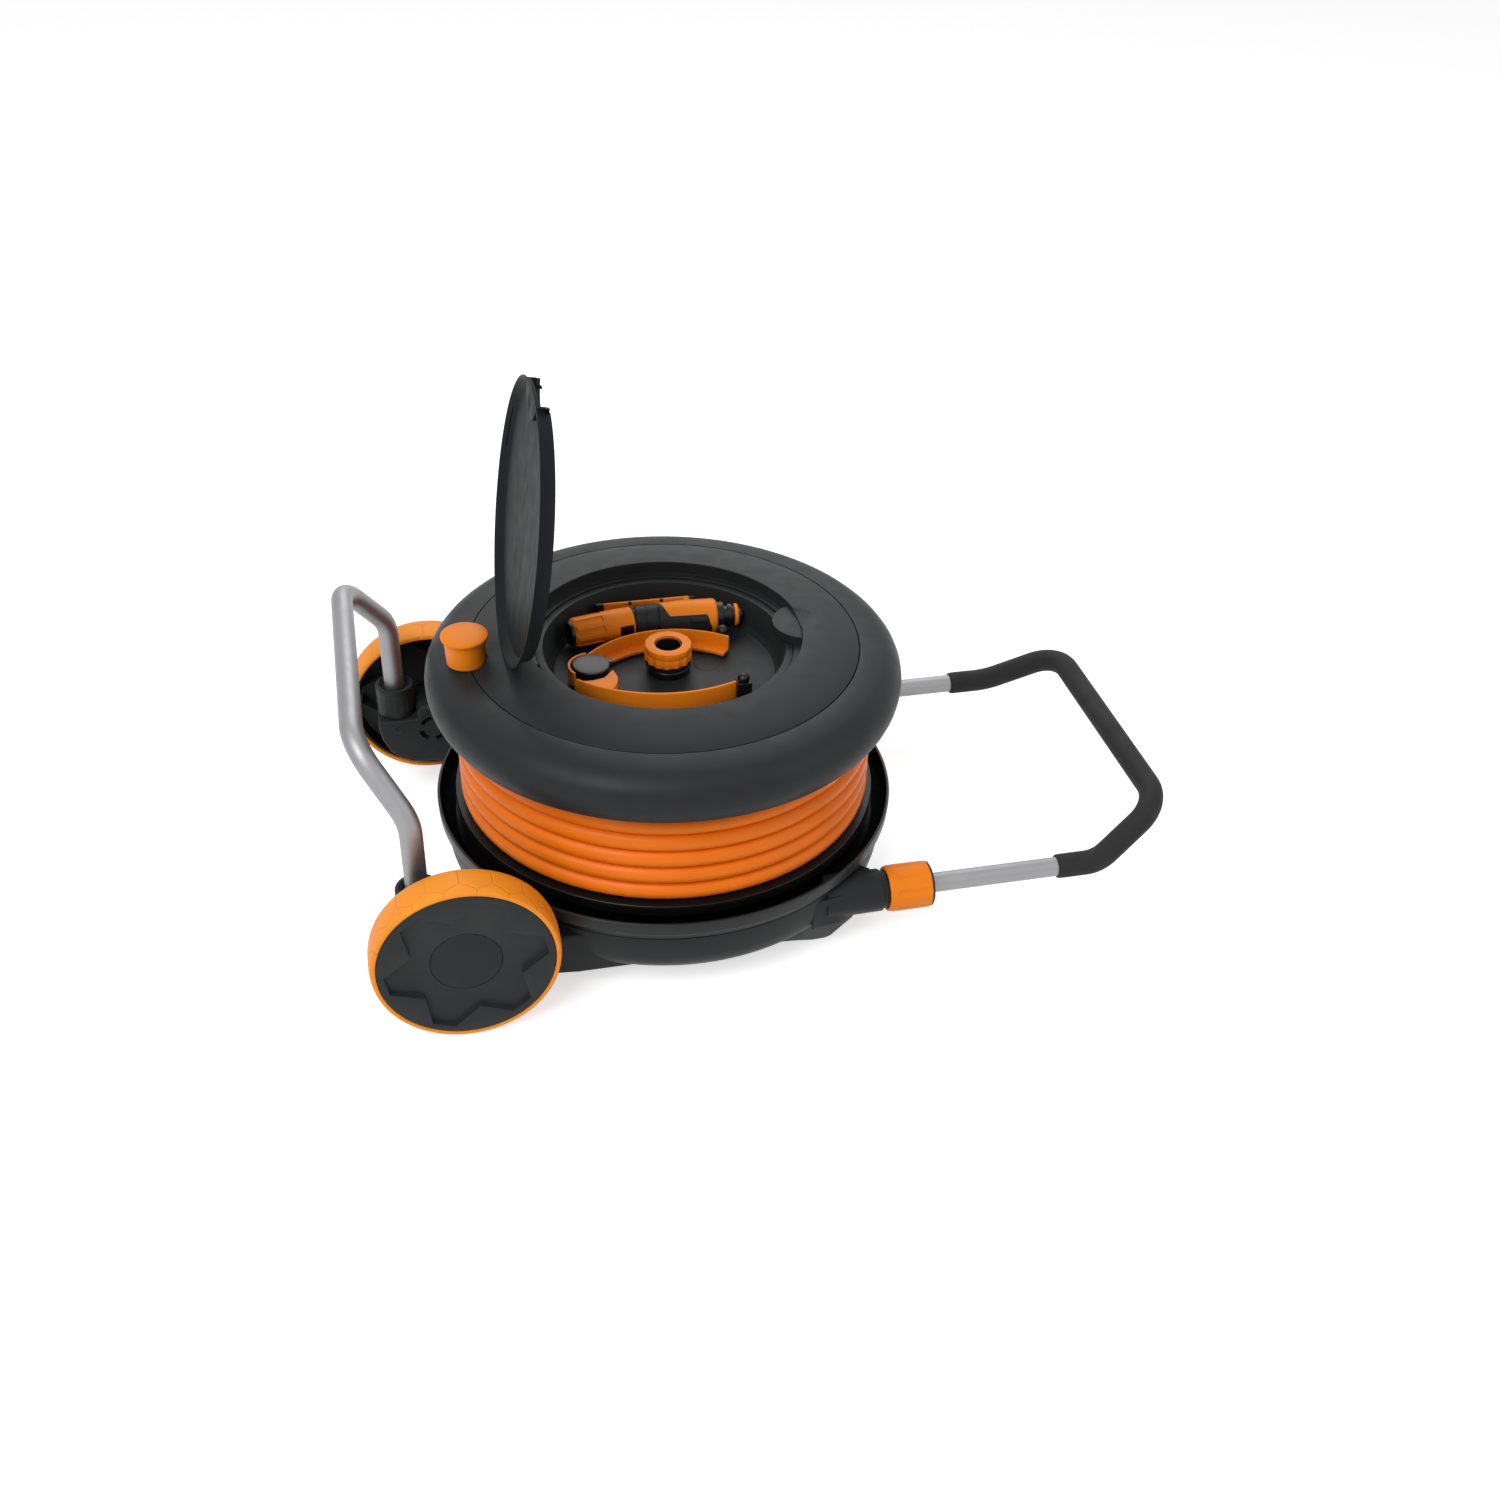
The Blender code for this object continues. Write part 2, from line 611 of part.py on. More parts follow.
def build_water_way():
    """The fixed pieces that carry the drum and bring it water."""
    floor = bowl_inner()[-1][1]
    profile = [(0.0070, SPINDLE_TOP_Z), (SPINDLE_R, SPINDLE_TOP_Z)]
    groove = SEAL_WIRE_R + GAP
    profile += [(SPINDLE_R, SEAL_Z + groove), (SPINDLE_R - 2 * groove, SEAL_Z + groove),
                (SPINDLE_R - 2 * groove, SEAL_Z - groove), (SPINDLE_R, SEAL_Z - groove)]
    profile += [(SPINDLE_R, SHOULDER_Z), (POST_R, SHOULDER_Z), (POST_R, floor + 0.0050),
                (0.0320, floor + 0.0050), (0.0320, floor + GAP), (0.0, floor + GAP)]
    spindle = turned("spindle", [(0.0, INLET_Z - 0.006), (0.0070, INLET_Z - 0.006)] + profile, SMALL_ROUND, False)
    cut(spindle, cylinder("spindle_port", 0.0030, 0.0, POST_R + 0.01, "Y", (0, 0, INLET_Z), PIN_ROUND))
    finish(spindle, CHARCOAL, 0.4)
    section = arc_points((SPINDLE_R - SEAL_WIRE_R, SEAL_Z), SEAL_WIRE_R, math.pi / 2, -3 * math.pi / 2, 7)[:-1]
    finish(turned("spindle_seal", section, SMALL_ROUND), BLACK, 0.6)
    pipe = cylinder("inlet_pipe", PIPE_R, POST_R + GAP, PIPE_END_Y - GAP, "Y", (0, 0, INLET_Z), PIN_ROUND)
    finish(pipe, BLACK, 0.5)
    seat = INLET_SEAT_Y
    shape = [(0.0, seat + 0.0180), (0.0078, seat + 0.0170), (0.0078, seat + 0.0120), (0.0060, seat + 0.0110),
             (0.0060, seat + 0.0080), (0.0080, seat + 0.0070), (0.0080, seat + 0.0025), (0.0115, seat + 0.0025),
             (0.0115, seat + GAP), (INLET_R, seat + GAP), (INLET_R, PIPE_END_Y), (0.0, PIPE_END_Y)]
    connector = turned("inlet_connector", shape, PIN_ROUND, False, turn=(-math.pi / 2, 0, 0), place=(0, 0, INLET_Z))
    finish(connector, ORANGE, 0.4)


def bracket_outline():
    """The elbow bracket seen from the side, clockwise, as (x, z)."""
    return [
        (LEG_X - 0.0187, COLLAR_SEAT_Z),
        (LEG_X + 0.0188, COLLAR_SEAT_Z),
        (LEG_X + 0.0188, COLLAR_SEAT_Z + 0.0085),
        (LEG_X + 0.0400, COLLAR_SEAT_Z + 0.0085),
        (ARM_JOINT_X - 0.0210, COLLAR_SEAT_Z - 0.0020),
        (ARM_JOINT_X - 0.0110, ARM_TOP_Z + 0.0080),
        (ARM_JOINT_X - GAP, ARM_TOP_Z),
        (ARM_JOINT_X - GAP, ARM_LOW_Z + 0.0050),
        (ARM_JOINT_X - 0.0250, ARM_LOW_Z + 0.0080),
        (LEG_X + 0.0170, ARM_LOW_Z + 0.0220),
        (LEG_X + 0.0028, ARM_LOW_Z + 0.0302),
        (LEG_X - 0.0143, COLLAR_SEAT_Z - 0.0143),
    ]


def build_bracket(side, sign):
    """An elbow bracket: a moulded arm, open towards its wheel, that holds the axle and a leg of the foot tube."""
    def span(name, outline, near, far):
        low, high = sorted((sign * near, sign * far))
        return plate(name + side, [outline], low, high, "Y")

    def bar(name, radius, near, far, x, z, steps=PIN_ROUND):
        low, high = sorted((sign * near, sign * far))
        return cylinder(name + side, radius, low, high, "Y", (x, 0, z), steps)

    bracket = span("bracket_", bracket_outline(), ARM_IN_Y, ARM_OUT_Y)
    cut(bracket, span("bracket_pocket_", inset(bracket_outline(), BRACKET_WALL), ARM_IN_Y + BRACKET_WALL,
                      ARM_OUT_Y + 0.01))
    leg = cylinder("leg_socket_" + side, FOOT_TUBE_R + 0.0050, LEG_SEAT_Z - 0.0070, COLLAR_SEAT_Z - 0.0010, "Z",
                   (LEG_X, sign * LEG_Y, 0), SMALL_ROUND)
    join(bracket, leg, bar("axle_boss_", 0.0088, ARM_IN_Y + 0.001, ARM_OUT_Y + 0.002, WHEEL_X, WHEEL_R),
         bar("axle_pad_", 0.0160, ARM_IN_Y - 0.0008, ARM_IN_Y + 0.0010, WHEEL_X, WHEEL_R))
    cut(bracket, cylinder("leg_bore_" + side, FOOT_TUBE_R + GAP, LEG_SEAT_Z, LEG_COLLAR_TOP_Z, "Z",
                          (LEG_X, sign * LEG_Y, 0), SMALL_ROUND),
        bar("axle_bore_", AXLE_R + RUN, ARM_IN_Y - 0.01, ARM_OUT_Y + 0.01, WHEEL_X, WHEEL_R),
        bar("screw_seat_", SCREW_HEAD_R + 0.0012, ARM_IN_Y - 0.01, ARM_IN_Y + 0.0015, SCREW_X, SCREW_Z),
        bar("screw_bore_", SCREW_R + RUN, ARM_IN_Y - 0.01, LEG_Y, SCREW_X, SCREW_Z))
    for i in range(3):
        middle = math.radians(90 + 120 * i)
        slot = arc_points((WHEEL_X, WHEEL_R), 0.0135, middle - 0.5, middle + 0.5, 3)
        slot += arc_points((WHEEL_X, WHEEL_R), 0.0096, middle + 0.5, middle - 0.5, 3)
        cut(bracket, span("slot_%d_" % i, slot, ARM_IN_Y - 0.01, ARM_IN_Y + BRACKET_WALL + 0.002))
    return finish(bracket, CHARCOAL, 0.5)


def build_foot():
    """The foot tube at the wheel end with its brackets, clamp collars and screws."""
    for side, sign in (("near", -1), ("far", 1)):
        build_bracket(side, sign)
        shape = [(LEG_COLLAR_R - 0.0010, LEG_COLLAR_TOP_Z), (LEG_COLLAR_R, LEG_COLLAR_TOP_Z - 0.0015),
                 (LEG_COLLAR_R - 0.0006, COLLAR_SEAT_Z + GAP), (FOOT_TUBE_R + GAP, COLLAR_SEAT_Z + GAP),
                 (FOOT_TUBE_R + GAP, LEG_COLLAR_TOP_Z - 0.0045), (0.0140, LEG_COLLAR_TOP_Z - 0.0045),
                 (0.0140, LEG_COLLAR_TOP_Z)]
        collar = turned("leg_collar_" + side, shape, SMALL_ROUND, place=(LEG_X, sign * LEG_Y, 0))
        finish(collar, CHARCOAL, 0.55)
    corners = [(LEG_X, -LEG_Y, LEG_SEAT_Z + GAP), (LEG_X, -LEG_Y, LEG_BEND_Z),
               (FOOT_BAR_X, -FOOT_BAR_Y, FOOT_BAR_Z), (FOOT_BAR_X, FOOT_BAR_Y, FOOT_BAR_Z),
               (LEG_X, LEG_Y, LEG_BEND_Z), (LEG_X, LEG_Y, LEG_SEAT_Z + GAP)]
    finish(tube("foot_tube", rounded_route(corners, FOOT_BEND_R), FOOT_TUBE_R), SATIN, 0.3, 1.0)
    tip = LEG_Y - FOOT_TUBE_R - GAP
    for side, sign in (("near", -1), ("far", 1)):
        shape = [(0.0, -ARM_IN_Y), (SCREW_HEAD_R, -ARM_IN_Y), (SCREW_HEAD_R, -ARM_IN_Y - 0.0012),
                 (SCREW_R, -ARM_IN_Y - 0.0012), (SCREW_R, -tip), (0.0, -tip)]
        screw = turned("bracket_screw_" + side, shape, PIN_ROUND, False, turn=(sign * math.pi / 2, 0, 0),
                       place=(SCREW_X, 0, SCREW_Z))
        finish(screw, BLACK, 0.35, 1.0)


def star_outline():
    """The star recess of a wheel: cut-off tips with straight flanks down to the valleys."""
    points = []
    half = math.asin(STAR_TIP_W / 2 / STAR_TIP_R)
    step = 2 * math.pi / STAR_TIPS
    for i in range(STAR_TIPS):
        middle = STAR_TURN + i * step
        for angle, radius in ((middle - half, STAR_TIP_R), (middle + half, STAR_TIP_R),
                              (middle + step / 2, STAR_VALLEY_R)):
            points.append((radius * math.cos(angle), radius * math.sin(angle)))
    return points


def build_wheel(side, sign):
    """A wheel on its axle, drawn with its axis along Z and its outer face up, then laid on its side."""
    face = TRACK / 2
    inner = face - WHEEL_W
    rim_r = WHEEL_R - TYRE_WALL
    axle_line = empty("axle_line_" + side, (WHEEL_X, 0, WHEEL_R), (-sign * math.pi / 2, 0, 0))
    tyre = turned("tyre_" + side, [
        (WHEEL_R - 0.0020, face), (WHEEL_R - 0.0007, face - 0.0018), (WHEEL_R, face - 0.0200),
        (WHEEL_R, inner + 0.0020), (WHEEL_R - 0.0012, inner), (rim_r, inner), (rim_r, face)], WHEEL_ROUND)
    finish(tyre, ORANGE, 0.5)
    back = face - HUB_PLATE
    wall = rim_r - GAP
    hub = turned("hub_" + side, [
        (wall - 0.0010, face), (wall, face - 0.0010), (wall, inner + 0.0022), (wall - 0.0022, inner + 0.0022),
        (wall - 0.0030, back), (HUB_TUBE_R, back), (HUB_TUBE_R - 0.0010, inner - 0.0010),
        (AXLE_R + RUN, inner - 0.0010), (AXLE_R + RUN, face)], WHEEL_ROUND)
    star = plate("star_" + side, [star_outline()], face - STAR_DEPTH, face + 0.01)
    cap_seat = cylinder("cap_seat_" + side, CAP_R + GAP, face - STAR_DEPTH - CAP_T, face + 0.01, steps=WHEEL_ROUND)
    head_low = face - STAR_DEPTH - CAP_T - AXLE_HEAD_T - 2 * GAP
    head_seat = cylinder("head_seat_" + side, AXLE_HEAD_R + RUN, head_low, face, steps=PIN_ROUND)
    cut(hub, star, cap_seat, head_seat)
    ribs = []
    for i in range(HUB_RIBS):
        rib = box("rib_%d_%s" % (i, side), (HUB_TUBE_R - 0.002, -0.0008, inner + 0.0060),
                  (wall - 0.0010, 0.0008, back + 0.001))
        rib.rotation_euler = (0, 0, 2 * math.pi * (i + 0.5) / HUB_RIBS)
        ribs.append(rib)
    join(hub, *ribs)
    finish(hub, CHARCOAL, 0.5)
    cap = turned("hub_cap_" + side, [
        (0.0, face - STAR_DEPTH + 0.0006), (CAP_R - 0.0012, face - STAR_DEPTH + 0.0004),
        (CAP_R, face - STAR_DEPTH - 0.0004), (CAP_R, face - STAR_DEPTH - CAP_T + GAP),
        (0.0, face - STAR_DEPTH - CAP_T + GAP)], WHEEL_ROUND, False)
    finish(cap, CHARCOAL, 0.45)
    head = head_low + GAP
    axle = turned("axle_" + side, [
        (0.0, head + AXLE_HEAD_T), (AXLE_HEAD_R, head + AXLE_HEAD_T), (AXLE_HEAD_R, head),
        (AXLE_R, head), (AXLE_R, ARM_IN_Y + 0.0005), (0.0, ARM_IN_Y + 0.0005)], PIN_ROUND, False)
    finish(axle, SATIN, 0.35, 1.0)
    ride(axle_line, tyre, hub, cap, axle, star, cap_seat, head_seat, *ribs)


def handle_route():
    """The handle's centre line from one inner end round to the other."""
    return rounded_route([
        (TUBE_END_X, -TUBE_Y, TUBE_Z), (HANDLE_BEND_X, -TUBE_Y, TUBE_Z),
        (HANDLE_BAR_X, -HANDLE_BAR_Y, HANDLE_BAR_Z), (HANDLE_BAR_X, HANDLE_BAR_Y, HANDLE_BAR_Z),
        (HANDLE_BEND_X, TUBE_Y, TUBE_Z), (TUBE_END_X, TUBE_Y, TUBE_Z)], HANDLE_BEND_R)


def build_handle():
    """The sliding handle: one bent tube, its foam grip and the stop plugs in its inner ends."""
    route = handle_route()
    finish(tube("handle_tube", route, TUBE_R), SATIN, 0.3, 1.0)
    bends = route[1:-1]
    grip_ends = [Vector((GRIP_START_X, sign * TUBE_Y, TUBE_Z)) for sign in (-1, 1)]
    past_ends = [end - Vector((0.01, 0, 0)) for end in grip_ends]
    grip = tube("handle_grip", [grip_ends[0]] + bends + [grip_ends[1]], GRIP_R)
    cut(grip, tube("grip_bore", [past_ends[0]] + bends + [past_ends[1]], TUBE_R + GAP))
    finish(grip, BLACK, 0.85)
    for side, sign in (("near", -1), ("far", 1)):
        stop = cylinder("handle_stop_" + side, STOP_R, TUBE_END_X - GAP - STOP_L, TUBE_END_X - GAP, "X",
                        (0, sign * TUBE_Y, TUBE_Z), PIN_ROUND)
        finish(stop, BLACK, 0.5)


def build_twist_collar(side, sign):
    """A clamp collar that screws on a socket's spigot and grips the tube."""
    line = empty("collar_line_" + side, (0, sign * TUBE_Y, TUBE_Z), (0, math.pi / 2, 0))
    start = SOCKET_END_X + GAP
    collar = turned("collar_" + side, [
        (TWIST_COLLAR_R - 0.0012, TWIST_COLLAR_END_X), (TWIST_COLLAR_R, TWIST_COLLAR_END_X - 0.0012),
        (TWIST_COLLAR_R, start + 0.0010), (TWIST_COLLAR_R - 0.0010, start),
        (SPIGOT_R + 2 * GAP, start), (SPIGOT_R + 2 * GAP, SPIGOT_END_X + GAP), (TUBE_R + RUN, SPIGOT_END_X + GAP),
        (TUBE_R + RUN, TWIST_COLLAR_END_X)], SMALL_ROUND)
    ride(line, collar)
    grooves = []
    for i in range(TWIST_GROOVES):
        angle = 2 * math.pi * (i + 0.5) / TWIST_GROOVES
        spot = ((TWIST_COLLAR_R + 0.0008) * math.cos(angle), (TWIST_COLLAR_R + 0.0008) * math.sin(angle), 0)
        groove = cylinder("collar_groove_%d_%s" % (i, side), 0.0016, start + 0.004, TWIST_COLLAR_END_X + 0.01,
                          "Z", spot, 6)
        grooves.append(groove)
    cut(collar, *grooves)
    ride(line, *grooves)
    finish(collar, ORANGE, 0.45)


def build_drum():
    """The two flanges, core, deck and bin that turn together."""
    low = LOW_FLANGE_TOP_Z
    bore = SPINDLE_R + SPINDLE_RUN
    flange = turned("flange_bottom", [
        (LOW_FLANGE_R, low), (LOW_FLANGE_R, LOW_FLANGE_RIM_Z),
        (LOW_FLANGE_R - SKIN, LOW_FLANGE_RIM_Z), (LOW_FLANGE_R - SKIN, low - 0.0045),
        (0.0300, low - 0.0045), (0.0260, SHOULDER_Z + GAP), (bore, SHOULDER_Z + GAP), (bore, low + 0.0100),
        (0.0230, low + 0.0100), (0.0230, low)])
    finish(flange, CHARCOAL, 0.45)
    core = turned("drum_core", [
        (CORE_R, UP_FLANGE_Z - GAP), (CORE_R, low + GAP), (CORE_R - 0.0120, low + GAP),
        (CORE_R - 0.0120, low + GAP + SKIN), (CORE_R - CORE_WALL, low + GAP + SKIN),
        (CORE_R - CORE_WALL, UP_FLANGE_Z - GAP)])
    cut(core, cylinder("core_port", PIPE_R + RUN, -CORE_R - 0.01, -CORE_R + 0.02, "Y", (0, 0, FEED_Z), 12))
    finish(core, CHARCOAL, 0.5)
    top = UP_FLANGE_Z + UP_FLANGE_T
    finish(turned("flange_top", [
        (RIM_R - 0.0065, top), (RIM_R - 0.0075, UP_FLANGE_Z), (CORE_R - 0.0140, UP_FLANGE_Z),
        (CORE_R - 0.0140, top)]), CHARCOAL, 0.5)
    finish(build_rim_ring(), CHARCOAL, 0.45)
    build_top_plate()
    build_bin()
    swivel = turned("swivel", [
        (0.0, SPINDLE_TOP_Z + 0.0060), (SWIVEL_R - 0.003, SPINDLE_TOP_Z + 0.0060), (SWIVEL_R, SPINDLE_TOP_Z + 0.003),
        (SWIVEL_R, low + 0.0100 + GAP), (bore, low + 0.0100 + GAP), (bore, SPINDLE_TOP_Z + 0.001),
        (0.0, SPINDLE_TOP_Z + 0.001)], SMALL_ROUND, False)
    finish(swivel, CHARCOAL, 0.4)
    pipe = cylinder("feed_pipe", PIPE_R, -CORE_R + 0.0005, -SWIVEL_R - GAP, "Y", (0, 0, FEED_Z), 12)
    finish(pipe, BLACK, 0.5)


RIM_OUTER = (
    (SEAM_R + 0.0002, DECK_SEAM_Z),
    (RIM_R - 0.0198, DECK_SEAM_Z - 0.0028),
    (RIM_R - 0.0100, DECK_SEAM_Z - 0.0075),
    (RIM_R - 0.0030, DECK_SEAM_Z - 0.0153),
    (RIM_R, DECK_SEAM_Z - 0.0259),
    (RIM_R - 0.0012, RIM_LOW_Z + 0.0100),
    (RIM_R - 0.0063, RIM_LOW_Z),
)
RIM_INNER = (
    (RIM_R - 0.0088, RIM_LOW_Z),
    (RIM_R - SKIN, DECK_SEAM_Z - 0.0269),
    (RIM_R - 0.0070, DECK_SEAM_Z - 0.0149),
    (RIM_R - 0.0208, DECK_SEAM_Z - 0.0058),
    (SEAM_R + 0.0002, DECK_SEAM_Z - SKIN),
)


def knob_hole(name):
    """A hole for the knob's stud."""
    return cylinder(name, KNOB_PIN_R + GAP, KNOB_BASE_Z - 0.0255, KNOB_TOP_Z, "Z", (KNOB_X, KNOB_Y, 0), PIN_ROUND)


def build_rim_ring():
    """The upper flange's rounded rim, a shell open below."""
    return cut(turned("rim_ring", list(RIM_OUTER) + list(RIM_INNER)), knob_hole("knob_hole_in_rim"))


def build_top_plate():
    """The deck round the bin's mouth, with the ledge, the thumb shelf and the lid's hinge lugs."""
    edge = SEAM_R - 0.0001
    seam_low = DECK_SEAM_Z - SKIN
    seat = UP_FLANGE_Z + UP_FLANGE_T + GAP
    deck = turned("top_plate", [
        (edge, DECK_SEAM_Z), (edge, seam_low - GAP), (SEAM_R + 0.0063, seam_low - 0.0014),
        (SEAM_R + 0.0038, seam_low - 0.0034), (RIB_OUT_R, DECK_EDGE_Z - 0.0075), (RIB_OUT_R, seat),
        (RIB_IN_R, seat), (RIB_IN_R, DECK_EDGE_Z - 0.0066), (BIN_MOUTH_R + SKIN, DECK_EDGE_Z - SKIN - 0.0004),
        (BIN_MOUTH_R + SKIN, LEDGE_Z - SKIN), (LEDGE_IN_R, LEDGE_Z - SKIN), (LEDGE_IN_R, LEDGE_Z),
        (BIN_MOUTH_R, LEDGE_Z), (BIN_MOUTH_R, DECK_EDGE_Z - 0.0004), (BIN_MOUTH_R + 0.0006, DECK_EDGE_Z),
        (RIB_IN_R + 0.0010, DECK_EDGE_Z - 0.0033)])
    shelf = cylinder("thumb_shelf", SHELF_R, LEDGE_Z - 0.0010, SHELF_Z, "Z", (SHELF_X, 0, 0), ROUND)
    limit = cylinder("shelf_limit", BIN_MOUTH_R + 0.0010, LEDGE_Z - 0.02, SHELF_Z + 0.02, steps=ROUND)
    combine(shelf, limit, "INTERSECT")
    thumb_pad = cylinder("thumb_pad", 0.0220, SHELF_Z - 0.0060, SHELF_Z + 0.0030, "Z", (SHELF_X + 0.0030, 0, 0),
                         SMALL_ROUND)
    combine(thumb_pad, turned("thumb_pad_limit", [
        (RIB_IN_R - 0.0010, SHELF_Z), (RIB_IN_R - 0.0010, SHELF_Z - 0.0100), (BIN_MOUTH_R + 0.0014, SHELF_Z - 0.0100),
        (BIN_MOUTH_R + 0.0014, SHELF_Z + 0.0025)]), "INTERSECT")
    knob_pad = cylinder("knob_pad", KNOB_R + 0.0030, KNOB_BASE_Z - 0.0031, KNOB_BASE_Z + 0.0095, "Z",
                        (KNOB_X, KNOB_Y, 0), SMALL_ROUND)
    combine(knob_pad, turned("knob_pad_limit", [
        (edge - 0.0003, DECK_SEAM_Z - 0.0003), (edge - 0.0003, DECK_SEAM_Z - 0.0149),
        (RIB_OUT_R + 0.0015, DECK_SEAM_Z - 0.0149), (RIB_OUT_R + 0.0015, DECK_SEAM_Z + 0.0047)]), "INTERSECT")
    join(deck, shelf, thumb_pad, knob_pad)
    lug_top = DECK_EDGE_Z - 0.0018
    half = HINGE_ARM_W / 2 + 0.0010
    for name, low, high in (("lug_near", -LUG_END_Y, -HINGE_ARM_Y - half), ("lug_mid", -HINGE_ARM_Y + half,
                            HINGE_ARM_Y - half), ("lug_far", HINGE_ARM_Y + half, LUG_END_Y)):
        join(deck, box(name, (HINGE_X - 0.0050, low, HINGE_Z - 0.0045), (HINGE_X + 0.0050, high, lug_top)))
    for sign in (-1, 1):
        middle = sign * HINGE_ARM_Y
        cut(deck, box("arm_slot_%d" % sign, (HINGE_X - 0.0065, middle - half, LEDGE_Z - 0.0100),
                      (-LEDGE_IN_R + 0.0030, middle + half, DECK_EDGE_Z + 0.01)))
    cut(deck, cylinder("hinge_bore", HINGE_PIN_R + GAP, -LUG_END_Y - 0.01, LUG_END_Y + 0.01, "Y", (HINGE_X, 0, HINGE_Z)),
        knob_hole("knob_hole_in_deck"))
    scoop = ball("thumb_scoop", SCOOP_R, (SHELF_X + 0.0005, 0, SHELF_Z + 0.0012 + SCOOP_R), ROUND)
    knob_seat = cylinder("knob_seat", KNOB_R + 0.0006, KNOB_BASE_Z - GAP, KNOB_TOP_Z, "Z", (KNOB_X, KNOB_Y, 0), ROUND)
    cut(deck, scoop, knob_seat)
    finish(deck, CHARCOAL, 0.45)
    pin_end = LUG_END_Y - 0.0002
    pin = cylinder("lid_hinge_pin", HINGE_PIN_R, -pin_end, pin_end, "Y", (HINGE_X, 0, HINGE_Z))
    finish(pin, SATIN, 0.35, 1.0)


def build_bin():
    """The accessory bin, a cup that hangs in the deck's ledge."""
    rim_r = LEDGE_IN_R - GAP
    under = LEDGE_Z - SKIN - GAP
    cup = turned("bin_cup", [
        (0.0, CUP_FLOOR_Z), (CUP_FLOOR_R, CUP_FLOOR_Z), (CUP_WALL_LOW_R, CUP_FLOOR_Z + 0.0060),
        (CUP_WALL_TOP_R, CUP_STEP_Z), (rim_r, CUP_STEP_Z), (rim_r, under), (rim_r + 0.0040, under),
        (rim_r + 0.0040, under - 0.0025), (CUP_WALL_TOP_R + CUP_WALL, under - 0.0025),
        (CUP_WALL_LOW_R + CUP_WALL, CUP_FLOOR_Z + 0.0040), (CUP_FLOOR_R, CUP_FLOOR_Z - CUP_WALL),
        (0.0, CUP_FLOOR_Z - CUP_WALL)], loop=False)
    finish(cup, CHARCOAL, 0.45)


def hose_row(turn):
    """Height of the wound layer's centre line: level rows, with a climb of one pitch in each crossing."""
    rows = math.floor(turn / (2 * math.pi))
    within = turn - rows * 2 * math.pi
    climb = ease((within - (2 * math.pi - CROSS_SPAN)) / CROSS_SPAN)
    return LOW_FLANGE_TOP_Z + GAP + HOSE_OD / 2 + HOSE_PITCH * (rows + climb)


def hose_point(turn, radius, height):
    """A point of the hose at an angle counted from the end of a crossing."""
    angle = CROSS_START + CROSS_SPAN + turn
    return Vector((radius * math.cos(angle), radius * math.sin(angle), height))


def hose_route():
    """The outer layer from its free end, out behind the drum, to where it dives under at the top."""
    step = 2 * math.pi / HOSE_LOOP_POINTS
    tail_steps = round(TAIL_SPAN / step) + 1
    route = []
    for i in range(-tail_steps, 1):
        turn = i * step
        share = -turn / (tail_steps * step)
        radius = HOSE_LAYER_R + TAIL_OUT * ease(-turn / TAIL_BEND)
        height = hose_row(0.0) + TAIL_RISE * ease((share - 0.35) / 0.65)
        route.append(hose_point(turn, radius, height))
    last = HOSE_TURNS * 2 * math.pi - CROSS_SPAN - DIVE_ANGLE
    for i in range(1, int(last / step) + 1):
        turn = i * step
        route.append(hose_point(turn, HOSE_LAYER_R, hose_row(turn)))
    return route


def least_gap(route, width):
    """Least clear distance between parts of a tube that lie more than three of its steps apart."""
    least = 1.0
    for i in range(len(route) - 1):
        for j in range(i + 4, len(route) - 1):
            for share in (0.0, 0.25, 0.5, 0.75):
                spot = route[i].lerp(route[i + 1], share)
                run = route[j + 1] - route[j]
                along = max(0.0, min(1.0, (spot - route[j]).dot(run) / run.length_squared))
                least = min(least, (spot - route[j] - run * along).length)
    return least - width


def build_hose():
    """The wound hose: a plain core for the inner layers, the outer layer as one tube, and its end coupling."""
    route = hose_route()
    print("hose gap to itself: %.2f mm" % (1000 * least_gap(route, HOSE_OD)))
    hose = tube("hose_wound", route, HOSE_OD / 2, 1)
    finish(hose, ORANGE, 0.4)
    chord = math.cos(math.pi / HOSE_LOOP_POINTS)
    inner_r = HOSE_LAYER_R * chord - HOSE_OD / 2 - 2 * GAP
    low = LOW_FLANGE_TOP_Z + GAP
    inner = turned("hose_inner", [
        (inner_r, UP_FLANGE_Z - GAP), (inner_r, low), (CORE_R + GAP, low), (CORE_R + GAP, UP_FLANGE_Z - GAP)])
    heading = (route[-1] - route[-2]).normalized()
    start = route[-1] + heading * GAP
    side = Vector((start.x, start.y, 0)).normalized()
    dive = [start, start + heading * HOSE_OD * 0.5]
    for i in range(1, 6):
        share = i / 5
        dive.append(start + heading * (HOSE_OD * 0.5 + 0.045 * share) - side * 0.028 * share * share)
    stub = tube("hose_stub", dive, HOSE_OD / 2, 1)
    join(inner, stub)
    finish(inner, ORANGE, 0.4)
    back = (route[0] - route[1]).normalized()
    seat = route[0] + back * GAP
    turn = back.to_track_quat("Z", "Y").to_euler()
    coupling = turned("hose_coupling", [
        (0.0, 0.0300), (0.0060, 0.0300), (0.0075, 0.0280), (0.0075, 0.0220), (0.0105, 0.0210), (0.0105, 0.0120),
        (0.0098, 0.0110), (0.0098, 0.0), (0.0, 0.0)], PIN_ROUND, False, turn=turn, place=seat)
    finish(coupling, CHARCOAL, 0.45)


